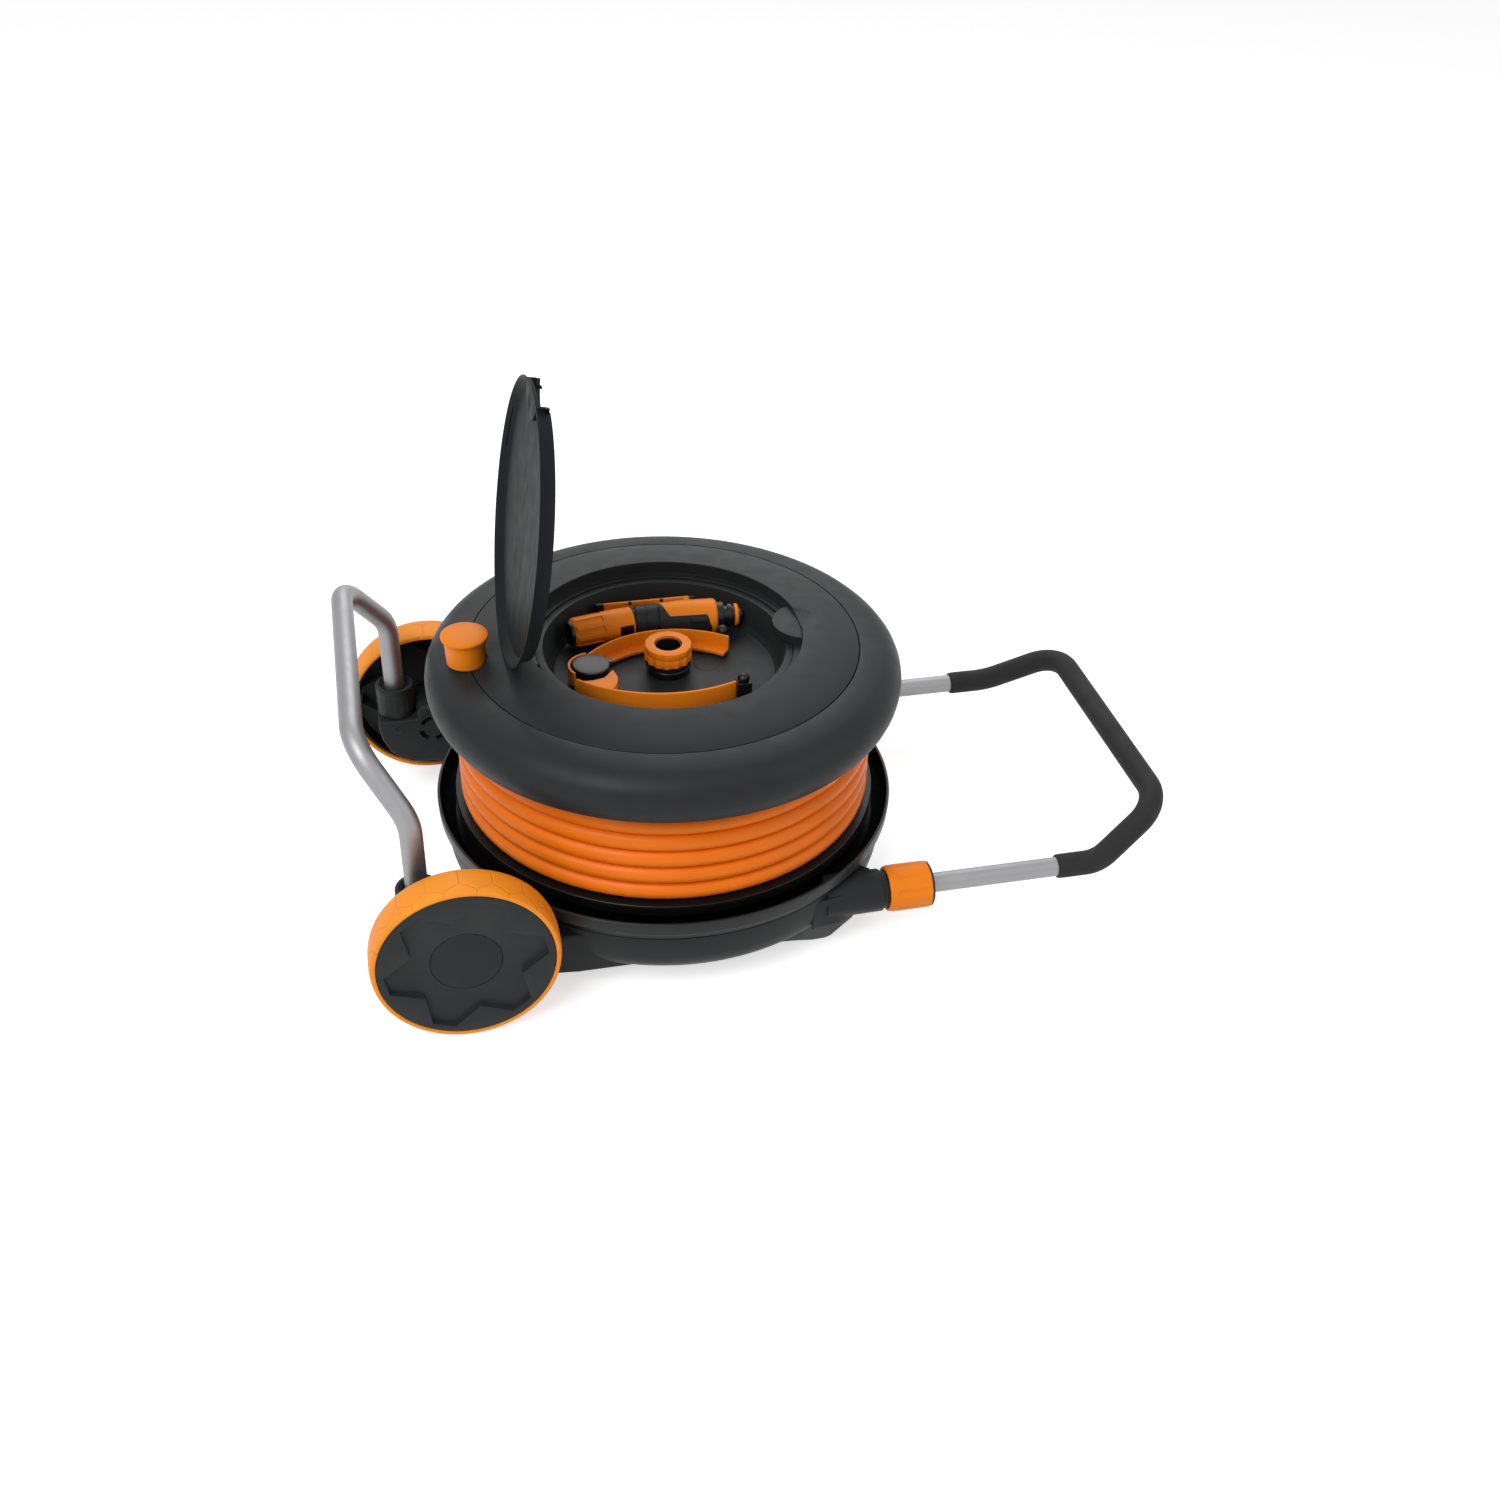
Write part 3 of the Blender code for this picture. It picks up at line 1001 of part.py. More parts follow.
def build_knob():
    """The winding knob, free to turn on its stud."""
    line = empty("knob_line", (KNOB_X, KNOB_Y, 0))
    bore = KNOB_PIN_R + RUN
    roof = KNOB_TOP_Z - 0.0060
    knob = turned("knob", [
        (0.0, KNOB_TOP_Z), (KNOB_CAP_R - 0.0050, KNOB_TOP_Z - 0.0004), (KNOB_CAP_R, KNOB_TOP_Z - 0.0022),
        (KNOB_CAP_R, KNOB_TOP_Z - 0.0040), (KNOB_R + 0.0005, KNOB_TOP_Z - 0.0060), (KNOB_R - 0.0012, KNOB_BASE_Z),
        (bore, KNOB_BASE_Z), (bore, roof), (0.0, roof)], SMALL_ROUND, False)
    finish(knob, ORANGE, 0.45)
    deck_low = DECK_SEAM_Z - SKIN - 0.0034
    stud = turned("knob_stud", [
        (0.0, roof - GAP), (KNOB_PIN_R, roof - GAP), (KNOB_PIN_R, deck_low - 2 * GAP),
        (0.0080, deck_low - 2 * GAP), (0.0080, deck_low - 0.0050), (0.0, deck_low - 0.0050)], PIN_ROUND, False)
    finish(stud, SATIN, 0.35, 1.0)
    ride(line, knob, stud)


def build_lid():
    """The bin's lid, built shut, then opened: a rim with hinge arms and a thumb pocket, and the plate in it."""
    hinge = empty("lid_hinge", (HINGE_X, 0, HINGE_Z))
    reach = math.hypot(-BIN_MOUTH_R - HINGE_X, DECK_EDGE_Z - HINGE_Z) + 0.0004
    outside = [(LID_R, LID_TOP_Z)]
    for i in range(1, 3):
        height = LID_TOP_Z - (LID_TOP_Z - CUP_STEP_Z) * 0.75 * i / 2
        swing = -HINGE_X - math.sqrt(reach ** 2 - (height - HINGE_Z) ** 2)
        outside.append((max(LID_FOOT_R, min(LID_R, swing)), height))
    foot = CUP_STEP_Z + GAP
    outside += [(LID_FOOT_R, foot), (LID_FOOT_R - LID_WALL, foot)]
    plate_low = LID_PLATE_Z
    plate_top = LID_PLATE_Z + LID_PLATE_T
    inside = [(LID_FOOT_R - LID_WALL, plate_low), (LID_PLATE_R + GAP, plate_low)]
    upper = [(LID_PLATE_R + GAP, plate_top), (LID_FOOT_R - LID_WALL, plate_top),
             (LID_FOOT_R - 0.0006, plate_top + 0.0022), (LID_R - LID_WALL - 0.0006, LID_TOP_Z)]
    lid = turned("lid", upper + outside + inside)
    boss_r = SHELF_R + 0.0036
    boss = cylinder("lid_boss", boss_r, plate_low + 0.0002, LID_TOP_Z - 0.0004, "Z", (SHELF_X, 0, 0), ROUND)
    limit = cylinder("boss_limit", LID_R - 0.0010, LID_PLATE_Z - 0.02, LID_TOP_Z + 0.02, steps=ROUND)
    combine(boss, limit, "INTERSECT")
    pocket = cylinder("lid_pocket", SHELF_R + 0.0012, LID_PLATE_Z - 0.02, SHELF_Z + 0.0010, "Z", (SHELF_X, 0, 0),
                      ROUND)
    thumb = ball("lid_scoop", 0.0400, (LID_R - 0.0130, 0, LID_TOP_Z + 0.0386), SMALL_ROUND)
    join(lid, boss)
    cut(lid, pocket, thumb)
    disc = cylinder("lid_plate", LID_PLATE_R, plate_low, plate_top, steps=ROUND)
    bite = cylinder("plate_bite", boss_r + GAP, plate_low - 0.01, plate_top + 0.01, "Z", (SHELF_X, 0, 0), ROUND)
    cut(disc, bite)
    finish(disc, CHARCOAL, 0.4)
    helpers = [boss, limit, pocket, thumb, disc, bite]
    for sign in (-1, 1):
        middle = sign * HINGE_ARM_Y
        low, high = middle - HINGE_ARM_W / 2, middle + HINGE_ARM_W / 2
        arm = box("lid_arm_%d" % sign, (HINGE_X - 0.0020, low, CUP_STEP_Z + 0.0006),
                  (-LID_FOOT_R + 0.0034, high, CUP_STEP_Z + 0.0040))
        barrel = cylinder("lid_barrel_%d" % sign, HINGE_BARREL_R, low + 0.0001, high - 0.0001, "Y",
                          (HINGE_X, 0, HINGE_Z), PIN_ROUND)
        join(lid, arm, barrel)
        helpers += [arm, barrel]
    bore = cylinder("lid_pin_bore", HINGE_PIN_R + RUN, -0.04, 0.04, "Y", (HINGE_X, 0, HINGE_Z), 12)
    cut(lid, bore)
    hang(hinge, lid, bore, *helpers)
    hinge.rotation_euler = (0, -LID_OPEN, 0)
    finish(lid, CHARCOAL, 0.4)


def build_nozzle():
    """The spray nozzle: handle, sleeve, hose coupling and a head that bends forward and twists."""
    lay = (0, math.pi / 2, 0)
    line = empty("nozzle_line", (NOZZLE_X, NOZZLE_Y, NOZZLE_Z), (0, 0, NOZZLE_TURN))
    head_line = empty("nozzle_head_line", (NOZZLE_X, NOZZLE_Y, NOZZLE_Z), (0, 0, HEAD_TURN))
    joint = 0.0115
    end = 0.0021
    ball_arc = []
    for i in range(5):
        x = end - (end + joint) * i / 4
        ball_arc.append((math.sqrt(max(0.0, joint ** 2 - x ** 2)), x))
    sleeve = turned("nozzle_sleeve", [(0.0, 0.0230), (0.0146, 0.0230), (0.0138, end)] + ball_arc,
                    SMALL_ROUND, False, turn=lay)
    finish(sleeve, CHARCOAL, 0.5)
    tip = NOZZLE_L
    body_end = tip - 0.0242
    body = turned("nozzle_body", [
        (0.0, body_end), (NOZZLE_R - 0.0014, body_end), (NOZZLE_R, body_end - 0.0025), (NOZZLE_R, 0.0450),
        (0.0148, 0.0230 + GAP), (0.0, 0.0230 + GAP)], SMALL_ROUND, False, turn=lay)
    finish(body, ORANGE, 0.4)
    start = body_end + GAP
    coupling = turned("nozzle_coupling", [
        (0.0, tip), (0.0058, tip), (0.0058, tip - 0.0075), (0.0088, tip - 0.0075), (0.0088, tip - 0.0097),
        (0.0112, tip - 0.0097), (0.0112, tip - 0.0137), (0.0092, tip - 0.0137), (0.0092, tip - 0.0177),
        (0.0135, tip - 0.0177), (0.0135, start), (0.0, start)], SMALL_ROUND, False, turn=lay)
    finish(coupling, BLACK, 0.35)
    ring = turned("nozzle_ring", [
        (0.0100, tip - 0.0037), (0.0105, tip - 0.0047), (0.0105, tip - 0.0072), (0.0058 + GAP, tip - 0.0072),
        (0.0058 + GAP, tip - 0.0037)], SMALL_ROUND, turn=lay)
    finish(ring, ORANGE, 0.4)
    ride(line, sleeve, body, coupling, ring)
    socket = joint + 0.0009
    socket_arc = []
    for i in range(5):
        x = -socket + (socket - end) * i / 4
        socket_arc.append((math.sqrt(max(0.0, socket ** 2 - x ** 2)), x))
    head = turned("nozzle_head", list(socket_arc) + [
        (HEAD_R, -end), (HEAD_R + 0.0003, -HEAD_L * 0.45), (HEAD_R - 0.0008, -HEAD_L + 0.002),
        (HEAD_R - 0.0025, -HEAD_L), (HEAD_R - 0.0035, -HEAD_L), (HEAD_R - 0.0040, -HEAD_L + 0.003),
        (0.0, -HEAD_L + 0.003)], SMALL_ROUND, False, turn=lay)
    ride(head_line, head)
    finish(head, ORANGE, 0.4)
    inner = TRIGGER_Y - TRIGGER_T / 2
    trigger = box("nozzle_trigger", (NOZZLE_X - 0.0305, inner, TRIGGER_LOW_Z),
                  (TRIGGER_X + 0.0040, inner + TRIGGER_T, TRIGGER_TOP_Z))
    body_flat = NOZZLE_R * math.cos(math.pi / SMALL_ROUND)
    body_side = NOZZLE_Y + math.sin(NOZZLE_TURN) * (TRIGGER_X - NOZZLE_X) + body_flat
    foot = box("trigger_foot", (TRIGGER_X - 0.0030, body_side + 1.5 * GAP, TRIGGER_LOW_Z + 0.0010),
               (TRIGGER_X + 0.0030, inner + 0.0010, TRIGGER_TOP_Z - 0.0010))
    join(trigger, foot)
    pivot = empty("trigger_line", (TRIGGER_X, body_side + 1.5 * GAP, 0))
    hang(pivot, trigger, foot)
    finish(trigger, ORANGE, 0.4)


def arc_band(name, ends, bulge, width, low, high):
    """A bowed strip between two points of the floor plan, bowed sideways by the bulge."""
    start, end = Vector(ends[0]), Vector(ends[1])
    chord = end - start
    normal = Vector((-chord.y, chord.x)).normalized()
    radius = (chord.length_squared / 4 + bulge * bulge) / (2 * abs(bulge))
    sign = 1 if bulge > 0 else -1
    centre = (start + end) / 2 + normal * (bulge - sign * radius)
    first = math.atan2(start.y - centre.y, start.x - centre.x)
    sweep = -sign * 2 * math.asin(chord.length / 2 / radius)
    outer = arc_points(centre, radius, first, first + sweep, 7)
    inner = arc_points(centre, radius - width, first + sweep, first, 7)
    return plate(name, [outer + inner], low, high)


def build_sprinkler():
    """The sprinkler: a capped hub with two bowed legs, a hook and two feet."""
    place = (SPRINKLER_X, SPRINKLER_Y, 0)
    low = CUP_FLOOR_Z + GAP
    top = SPRINKLER_TOP_Z
    head = turned("sprinkler_head", [
        (0.0, top + 0.0028), (SPRINKLER_CAP_R - 0.0050, top + 0.0024), (SPRINKLER_CAP_R, top + 0.0012),
        (SPRINKLER_CAP_R, top), (SPRINKLER_POST_R, top), (SPRINKLER_POST_R, low), (0.0, low)],
        SMALL_ROUND, False, place=place)
    finish(head, BLACK, 0.4)
    legs = turned("sprinkler_legs", [
        (SPRINKLER_HUB_R, top - GAP), (SPRINKLER_HUB_R, SPRINKLER_LEG_LOW_Z),
        (SPRINKLER_POST_R + 2 * GAP, SPRINKLER_LEG_LOW_Z), (SPRINKLER_POST_R + 2 * GAP, top - GAP)],
        SMALL_ROUND, place=place)
    rear = arc_band("rear_leg", ((-0.0815, -0.0040), (0.0640, 0.0150)), 0.0335, 0.0060, SPRINKLER_LEG_LOW_Z + 0.0005,
                    top - 0.0006)
    front = arc_band("front_leg", ((-0.0850, -0.0270), (0.0545, -0.0560)), -0.0215, 0.0040, low, top - 0.0008)
    hook = arc_band("hook", ((-0.0795, -0.0150), (-0.0800, -0.0330)), 0.0060, 0.0050, SPRINKLER_LEG_LOW_Z + 0.001,
                    top - 0.0010)
    join(legs, rear, front, hook)
    clear = cylinder("hub_clearance", SPRINKLER_POST_R + 2 * GAP, 0.2, 0.3, "Z", place, SMALL_ROUND)
    cut(legs, clear)
    finish(legs, ORANGE, 0.4)
    front_foot = box("sprinkler_foot_front", (0.0548, -0.0590, low), (0.0680, -0.0480, top - 0.0025))
    join(front_foot, ball("front_ball", 0.0056, (0.0610, -0.0535, top - 0.0005), 12))
    finish(front_foot, BLACK, 0.5)
    rear_foot = box("sprinkler_foot_rear", (0.0545, 0.0232, low), (0.0655, 0.0330, top - 0.0030))
    join(rear_foot, ball("rear_ball", 0.0056, (0.0590, 0.0280, top - 0.0010), 12))
    finish(rear_foot, BLACK, 0.5)


def build_tap_connector():
    """The threaded tap connector with its scalloped ring."""
    place = (TAP_X, TAP_Y, 0)
    low = CUP_FLOOR_Z + GAP
    shoulder = TAP_RING_LOW_Z - GAP
    body = turned("tap_connector_body", [
        (0.0108, TAP_TOP_Z - 0.0020), (0.0108, shoulder), (TAP_BODY_R, shoulder), (TAP_BODY_R, low + 0.0050),
        (0.0150, low + 0.0050), (0.0150, low), (0.0085, low), (0.0085, TAP_TOP_Z - 0.0020)], SMALL_ROUND, place=place)
    finish(body, BLACK, 0.4)
    scallops = 12
    points = 2 * scallops
    outer = []
    for i in range(points):
        angle = 2 * math.pi * i / points
        radius = TAP_RING_R + 0.0006 * math.cos(scallops * angle)
        outer.append((TAP_X + radius * math.cos(angle), TAP_Y + radius * math.sin(angle)))
    hole = arc_points((TAP_X, TAP_Y), 0.0108 + GAP, 0, 2 * math.pi, SMALL_ROUND + 1)[:-1]
    ring = plate("tap_connector_ring", [outer, hole], TAP_RING_LOW_Z, TAP_TOP_Z)
    finish(ring, ORANGE, 0.4)


def centre_footprint():
    """Move everything along X so that the origin lies below the middle of the whole reel."""
    middle = (HANDLE_BAR_X + GRIP_R + FOOT_BAR_X - FOOT_TUBE_R) / 2
    for thing in bpy.data.objects:
        if thing.parent is None:
            thing.location.x -= middle


def main():
    """Build the whole reel round its spindle, then centre it."""
    start_scene()
    build_chassis()
    build_tray()
    build_water_way()
    build_foot()
    for side, sign in (("near", -1), ("far", 1)):
        build_wheel(side, sign)
        build_twist_collar(side, sign)
    build_handle()
    build_drum()
    build_hose()
    build_knob()
    build_lid()
    build_nozzle()
    build_sprinkler()
    build_tap_connector()
    centre_footprint()


main()
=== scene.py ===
"""Finishes and finer forms of the hose reel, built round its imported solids.

Places count from the drum's spindle at floor level, in metres, +Z up; dress() moves each piece into the
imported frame. A turned piece is drawn round +Z, with its profile running down its outer side.
"""
import json
from math import asin, atan2, cos, hypot, pi, radians, sin, sqrt, tan

import bmesh
import bpy
from mathutils import Matrix, Vector


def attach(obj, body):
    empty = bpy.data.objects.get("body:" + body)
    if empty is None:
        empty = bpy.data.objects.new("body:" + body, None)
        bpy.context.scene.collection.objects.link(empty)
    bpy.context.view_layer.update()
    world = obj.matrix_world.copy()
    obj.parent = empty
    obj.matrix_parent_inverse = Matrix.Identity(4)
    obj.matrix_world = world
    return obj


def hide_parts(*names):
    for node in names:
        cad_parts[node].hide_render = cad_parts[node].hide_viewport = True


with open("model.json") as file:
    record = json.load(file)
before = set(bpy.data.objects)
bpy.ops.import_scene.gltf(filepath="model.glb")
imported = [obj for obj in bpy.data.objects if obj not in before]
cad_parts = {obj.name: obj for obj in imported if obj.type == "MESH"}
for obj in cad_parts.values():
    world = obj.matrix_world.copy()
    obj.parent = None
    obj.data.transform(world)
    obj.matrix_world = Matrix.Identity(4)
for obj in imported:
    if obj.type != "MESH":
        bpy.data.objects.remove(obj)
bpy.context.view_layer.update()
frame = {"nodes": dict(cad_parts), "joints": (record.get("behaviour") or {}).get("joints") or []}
JOINTS = {joint["name"]: joint.get("pos_m") for joint in frame["joints"]}
SPINDLE = Vector((JOINTS["drum_spin"][0], 0.0, 0.0))
SIDES = (("near", -1), ("far", 1))

# Colours, linear
ORANGE = (0.85, 0.225, 0.010)
HOSE_ORANGE = (0.82, 0.175, 0.005)
TYRE_ORANGE = (0.88, 0.285, 0.016)
CHARCOAL = (0.0170, 0.0195, 0.0203)
# painted shade: near black standing in for the shadow in hollows and under parts
PAINTED_SHADE_BLACK = (0.003, 0.003, 0.003)
BLACK = (0.006, 0.006, 0.007)
FOAM = (0.014, 0.014, 0.015)
SATIN = (0.30, 0.30, 0.31)
STEEL = (0.45, 0.45, 0.46)

# Camera and lamps
CAMERA_AZIMUTH = radians(-14.1858)
CAMERA_ELEVATION = radians(35.6851)
CAMERA_ROLL = radians(1.988)
CAMERA_TARGET = Vector((0.0726, -0.0400, 0.1406))
CAMERA_DISTANCE = 1.5704
CAMERA_LENS = 40.794
LAMP_AIM = Vector((0.0, 0.0, 0.12))
FLOOR_GLOW = 0.60
WORLD_LIGHT = 0.42

# Wheels
WHEEL = Vector((JOINTS["wheel_near_spin"][0] - SPINDLE.x, 0.0, JOINTS["wheel_near_spin"][2]))
WHEEL_R = WHEEL.z
WHEEL_FACE = 0.2144
WHEEL_W = 0.0318
TYRE_WALL = 0.0053
STAR_DEPTH = 0.0057
STAR_TURN = radians(10)
CAP_R = 0.0300

# Base, tray and frame
SEAM_Z = 0.0700
BOWL_R = 0.2065
TRAY_R = 0.2133
TRAY_Z = 0.0923
TUBE_Y = 0.1571
TUBE_Z = 0.0539
TUBE_R = 0.0090
TUBE_BEND_R = 0.0400
TUBE_BORE_R = 0.0112      # clears the stops on the handle's ends
FOOT_TUBE_R = 0.00965
LEG = Vector((-0.2410, 0.1576, 0.0))
COLLAR_SEAT_Z = 0.0922
ARM_Y = 0.1370            # inner face of the side arms and brackets
FLOOR_Z = 0.0120          # underside of the bowl

# Drum
SEAM_R = 0.1752
DECK_SEAM_Z = 0.2449
DECK_EDGE_Z = 0.2541
MOUTH_R = 0.1238
LEDGE_Z = 0.2420
LEDGE_IN_R = 0.1165
CUP_STEP_Z = 0.2405
CUP_FLOOR_Z = 0.2110
SHELF = Vector((0.1295, 0.0, 0.2500))
SHELF_R = 0.0295
SHELF_PLACE = Matrix.Translation((SHELF.x, 0, 0))
KNOB = Vector((JOINTS["knob_spin"][0] - SPINDLE.x, JOINTS["knob_spin"][1], 0.2455))
KNOB_PLACE = Matrix.Translation((KNOB.x, KNOB.y, 0))

# Hose
HOSE_R = 0.0084
HOSE_PITCH = 0.0175
HOSE_TURNS = 6
HOSE_LAYER_R = 0.1824
HOSE_FIRST_Z = 0.1062
CROSS_START = radians(40)
CROSS_SPAN = radians(100)
LOOP_POINTS = 72
TAIL_SPAN = radians(90)
TAIL_BEND = radians(40)
TAIL_OUT = 0.0207         # how far the free end stands off the outer layer
TAIL_RISE = 0.0180
DIVE_ANGLE = radians(25)
DIVE_L = 0.0560
DIVE_DEPTH = 0.0300
UNDER_R = 0.1723          # outside of the inner layers
UNDER_LOW_Z = 0.0978
UNDER_TOP_Z = 0.2044

# Lid
HINGE = Vector((JOINTS["lid_hinge"][0] - SPINDLE.x, 0.0, JOINTS["lid_hinge"][2]))
HINGE_ARM_Y = 0.0200
LID_R = 0.1230
LID_FOOT_R = 0.1157
LID_TOP_Z = 0.2541
LID_PLATE_Z = 0.2452
LID_OPEN = radians(81)

# Accessories
NOZZLE = Vector((-0.0180, 0.0635, 0.2279))
NOZZLE_R = 0.0166
NOZZLE_TURN = radians(-3.6)
HEAD_TURN = radians(11)
HEAD_L = 0.0600
SPRINKLER = Vector((-0.0680, -0.0060, 0.0))
SPRINKLER_TOP_Z = 0.2300
TAP = Vector((0.0035, 0.0010, 0.0))


def feed(tree, socket, value):
    """Give a socket a value or another node's result."""
    if isinstance(value, bpy.types.NodeSocket):
        tree.links.new(value, socket)
    else:
        socket.default_value = value


def node(tree, kind, **inputs):
    """A shader node with its inputs set by name."""
    made = tree.nodes.new(kind)
    for name, value in inputs.items():
        feed(tree, made.inputs[name.replace("_", " ")], value)
    return made


def maths(tree, operation, *values):
    """A math node's result."""
    made = tree.nodes.new("ShaderNodeMath")
    made.operation = operation
    for socket, value in zip(made.inputs, values):
        feed(tree, socket, value)
    return made.outputs[0]


def mixed(tree, share, first, second):
    """Two colours mixed, each a colour or another node's result."""
    made = tree.nodes.new("ShaderNodeMix")
    made.data_type = "RGBA"
    for socket, value in ((made.inputs["Factor"], share), (made.inputs[6], first), (made.inputs[7], second)):
        feed(tree, socket, value)
    return made.outputs[2]


def spread(tree, value, low, high):
    """A noise value brought to a range."""
    made = node(tree, "ShaderNodeMapRange", Value=value, From_Min=0.3, From_Max=0.7, To_Min=low, To_Max=high)
    return made.outputs["Result"]


def noise(tree, place, scale, detail=3.0):
    """Noise over a place in metres; the scale counts features per metre."""
    return node(tree, "ShaderNodeTexNoise", Vector=place, Scale=scale, Detail=detail).outputs["Fac"]


def shaded(name, colour, roughness, metallic=0.0, variation=0.05, grain=1500.0, depth=0.00004, specular=0.3,
           painted_shade_area=None):
    """A moulded or drawn surface: a colour that varies a little, uneven gloss and a fine grain.

    The last argument paints shade into a hollow, the colour fading to near black: ("radius", r) within a radius,
    ("depth", z) below a height of the piece.
    """
    material = bpy.data.materials.new(name)
    material.use_nodes = True
    tree = material.node_tree
    shader = tree.nodes["Principled BSDF"]
    place = tree.nodes.new("ShaderNodeTexCoord").outputs["Object"]
    patches = noise(tree, place, 24.0)
    fine = noise(tree, place, grain, 2.0)
    dark, light = [(*(c * share for c in colour), 1.0) for share in (1 - variation, 1 + variation)]
    surface = mixed(tree, spread(tree, patches, 0.0, 1.0), dark, light)
    # painted shade: within the given radius or below the given height the colour fades to near black, standing in for
    # the shadow in a hollow
    if painted_shade_area:
        kind, limit = painted_shade_area
        axes = node(tree, "ShaderNodeSeparateXYZ", Vector=place).outputs
        if kind == "radius":
            reach = maths(tree, "SQRT", maths(tree, "ADD", maths(tree, "MULTIPLY", axes["X"], axes["X"]),
                                              maths(tree, "MULTIPLY", axes["Y"], axes["Y"])))
        else:
            reach = axes["Z"]
        made = node(tree, "ShaderNodeMapRange", Value=reach, From_Min=limit - 0.0006, From_Max=limit + 0.0002)
        surface = mixed(tree, made.outputs["Result"], (*PAINTED_SHADE_BLACK, 1.0), surface)
    tree.links.new(surface, shader.inputs["Base Color"])
    smudges = noise(tree, place, 60.0)
    tree.links.new(spread(tree, smudges, roughness - 0.04, roughness + 0.05), shader.inputs["Roughness"])
    bump = node(tree, "ShaderNodeBump", Strength=0.6, Distance=depth, Height=fine)
    tree.links.new(bump.outputs["Normal"], shader.inputs["Normal"])
    shader.inputs["Metallic"].default_value = metallic
    shader.inputs["Specular IOR Level"].default_value = specular
    return material


def tread_lines(material, cells, width):
    """Cut a tyre's thin honeycomb lines into a material; the tyre's axis is its object's Z."""
    tree = material.node_tree
    shader = tree.nodes["Principled BSDF"]
    place = node(tree, "ShaderNodeSeparateXYZ", Vector=tree.nodes.new("ShaderNodeTexCoord").outputs["Object"])
    angle = maths(tree, "ARCTAN2", place.outputs["Y"], place.outputs["X"])
    u = maths(tree, "MULTIPLY", angle, cells / (2 * pi))
    v = maths(tree, "MULTIPLY", place.outputs["Z"], cells / (2 * pi * WHEEL_R))
    root = sqrt(3)
    near_edge = []
    for shift in (40.0, 40.5):
        along = maths(tree, "PINGPONG", maths(tree, "ADD", u, shift), 0.5)
        across = maths(tree, "PINGPONG", maths(tree, "ADD", v, shift * root), root / 2)
        slope = maths(tree, "ADD", maths(tree, "MULTIPLY", along, 0.5), maths(tree, "MULTIPLY", across, root / 2))
        near_edge.append(maths(tree, "MAXIMUM", along, slope))
    reach = maths(tree, "MINIMUM", *near_edge)
    line = maths(tree, "SMOOTH_MIN", maths(tree, "MULTIPLY", maths(tree, "SUBTRACT", 0.5, reach), 1 / width), 1.0, 0.3)
    bump = node(tree, "ShaderNodeBump", Strength=0.8, Distance=0.0006, Height=line)
    old = shader.inputs["Normal"].links[0].from_socket
    tree.links.new(old, bump.inputs["Normal"])
    tree.links.new(bump.outputs["Normal"], shader.inputs["Normal"])
    return material


LOOKS = {
    "charcoal": shaded("charcoal_plastic", CHARCOAL, 0.46, specular=0.15),
    "lid": shaded("lid_plastic", CHARCOAL, 0.46, depth=0.00001, specular=0.02),
    # painted shade: the hub's inner side fades to near black, standing in for the shadow behind the wheel's face
    "hub": shaded("hub_plastic", CHARCOAL, 0.46, specular=0.2, painted_shade_area=("depth", WHEEL_FACE - 0.0112)),
    # painted shade: the tray fades to near black within its rim and in the seam under it, standing in for shadow
    "tray": shaded("tray_plastic", CHARCOAL, 0.38, specular=0.2, painted_shade_area=("radius", TRAY_R - 0.0020)),
    # painted shade: a near-black material put where there is only shadow, on the lower flange and the lid's pocket wall
    "shade": shaded("painted_shade_plastic", PAINTED_SHADE_BLACK, 0.34),
    "black": shaded("black_plastic", BLACK, 0.32),
    "orange": shaded("orange_plastic", ORANGE, 0.40, specular=0.15),
    "hose": shaded("orange_hose", HOSE_ORANGE, 0.38, variation=0.04, grain=500.0, depth=0.0001, specular=0.2),
    "tyre": tread_lines(shaded("orange_tyre", TYRE_ORANGE, 0.50), 18, 0.03),
    "foam": shaded("black_foam", FOAM, 0.72, grain=2600.0, depth=0.0002),
    "tube": shaded("satin_tube", SATIN, 0.50, 1.0, variation=0.03, grain=2500.0),
    "steel": shaded("steel", STEEL, 0.30, 1.0),
}
SLOTS = {**dict.fromkeys(("charcoal", "lid", "hub", "shade"), "charcoal_plastic"), "tray": "tray_plastic",
         "black": "black_plastic", "orange": "orange_plastic", "hose": "hose", "tyre": "orange_tyre", "foam": "foam",
         "tube": "tube"}


def coat(thing, look):
    """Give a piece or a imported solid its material."""
    thing.data.materials.clear()
    thing.data.materials.append(LOOKS[look])


def dress(thing, look, body, *nodes, sharp=32, matrix=None):
    """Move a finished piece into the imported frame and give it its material, body and the nodes it stands for."""
    if matrix is not None:
        thing.matrix_world = matrix
    coat(thing, look)
    thing.data.shade_smooth()
    thing.data.set_sharp_from_angle(angle=radians(sharp))
    thing.matrix_world = Matrix.Translation(SPINDLE) @ thing.matrix_world
    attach(thing, body)
    if nodes:
        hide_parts(*nodes)


def bake(thing):
    """Apply an object's modifiers to its mesh."""
    bpy.context.view_layer.update()
    evaluated = thing.evaluated_get(bpy.context.evaluated_depsgraph_get())
    mesh = bpy.data.meshes.new_from_object(evaluated)
    thing.modifiers.clear()
    thing.data = mesh


def placed(name, data):
    """A new object in the scene."""
    thing = bpy.data.objects.new(name, data)
    bpy.context.scene.collection.objects.link(thing)
    return thing


def object_of(name, verts, faces):
    """A mesh object with its faces turned outwards."""
    mesh = bpy.data.meshes.new(name)
    mesh.from_pydata(verts, [], faces)
    work = bmesh.new()
    work.from_mesh(mesh)
    bmesh.ops.recalc_face_normals(work, faces=work.faces)
    work.to_mesh(mesh)
    work.free()
    return placed(name, mesh)


def stepped(start, end, count):
    """Evenly spaced numbers from start to end."""
    return [start + (end - start) * i / (count - 1) for i in range(count)]


def polar(radius, angle):
    """A point in a plane, from its radius and its angle in radians."""
    return radius * cos(angle), radius * sin(angle)


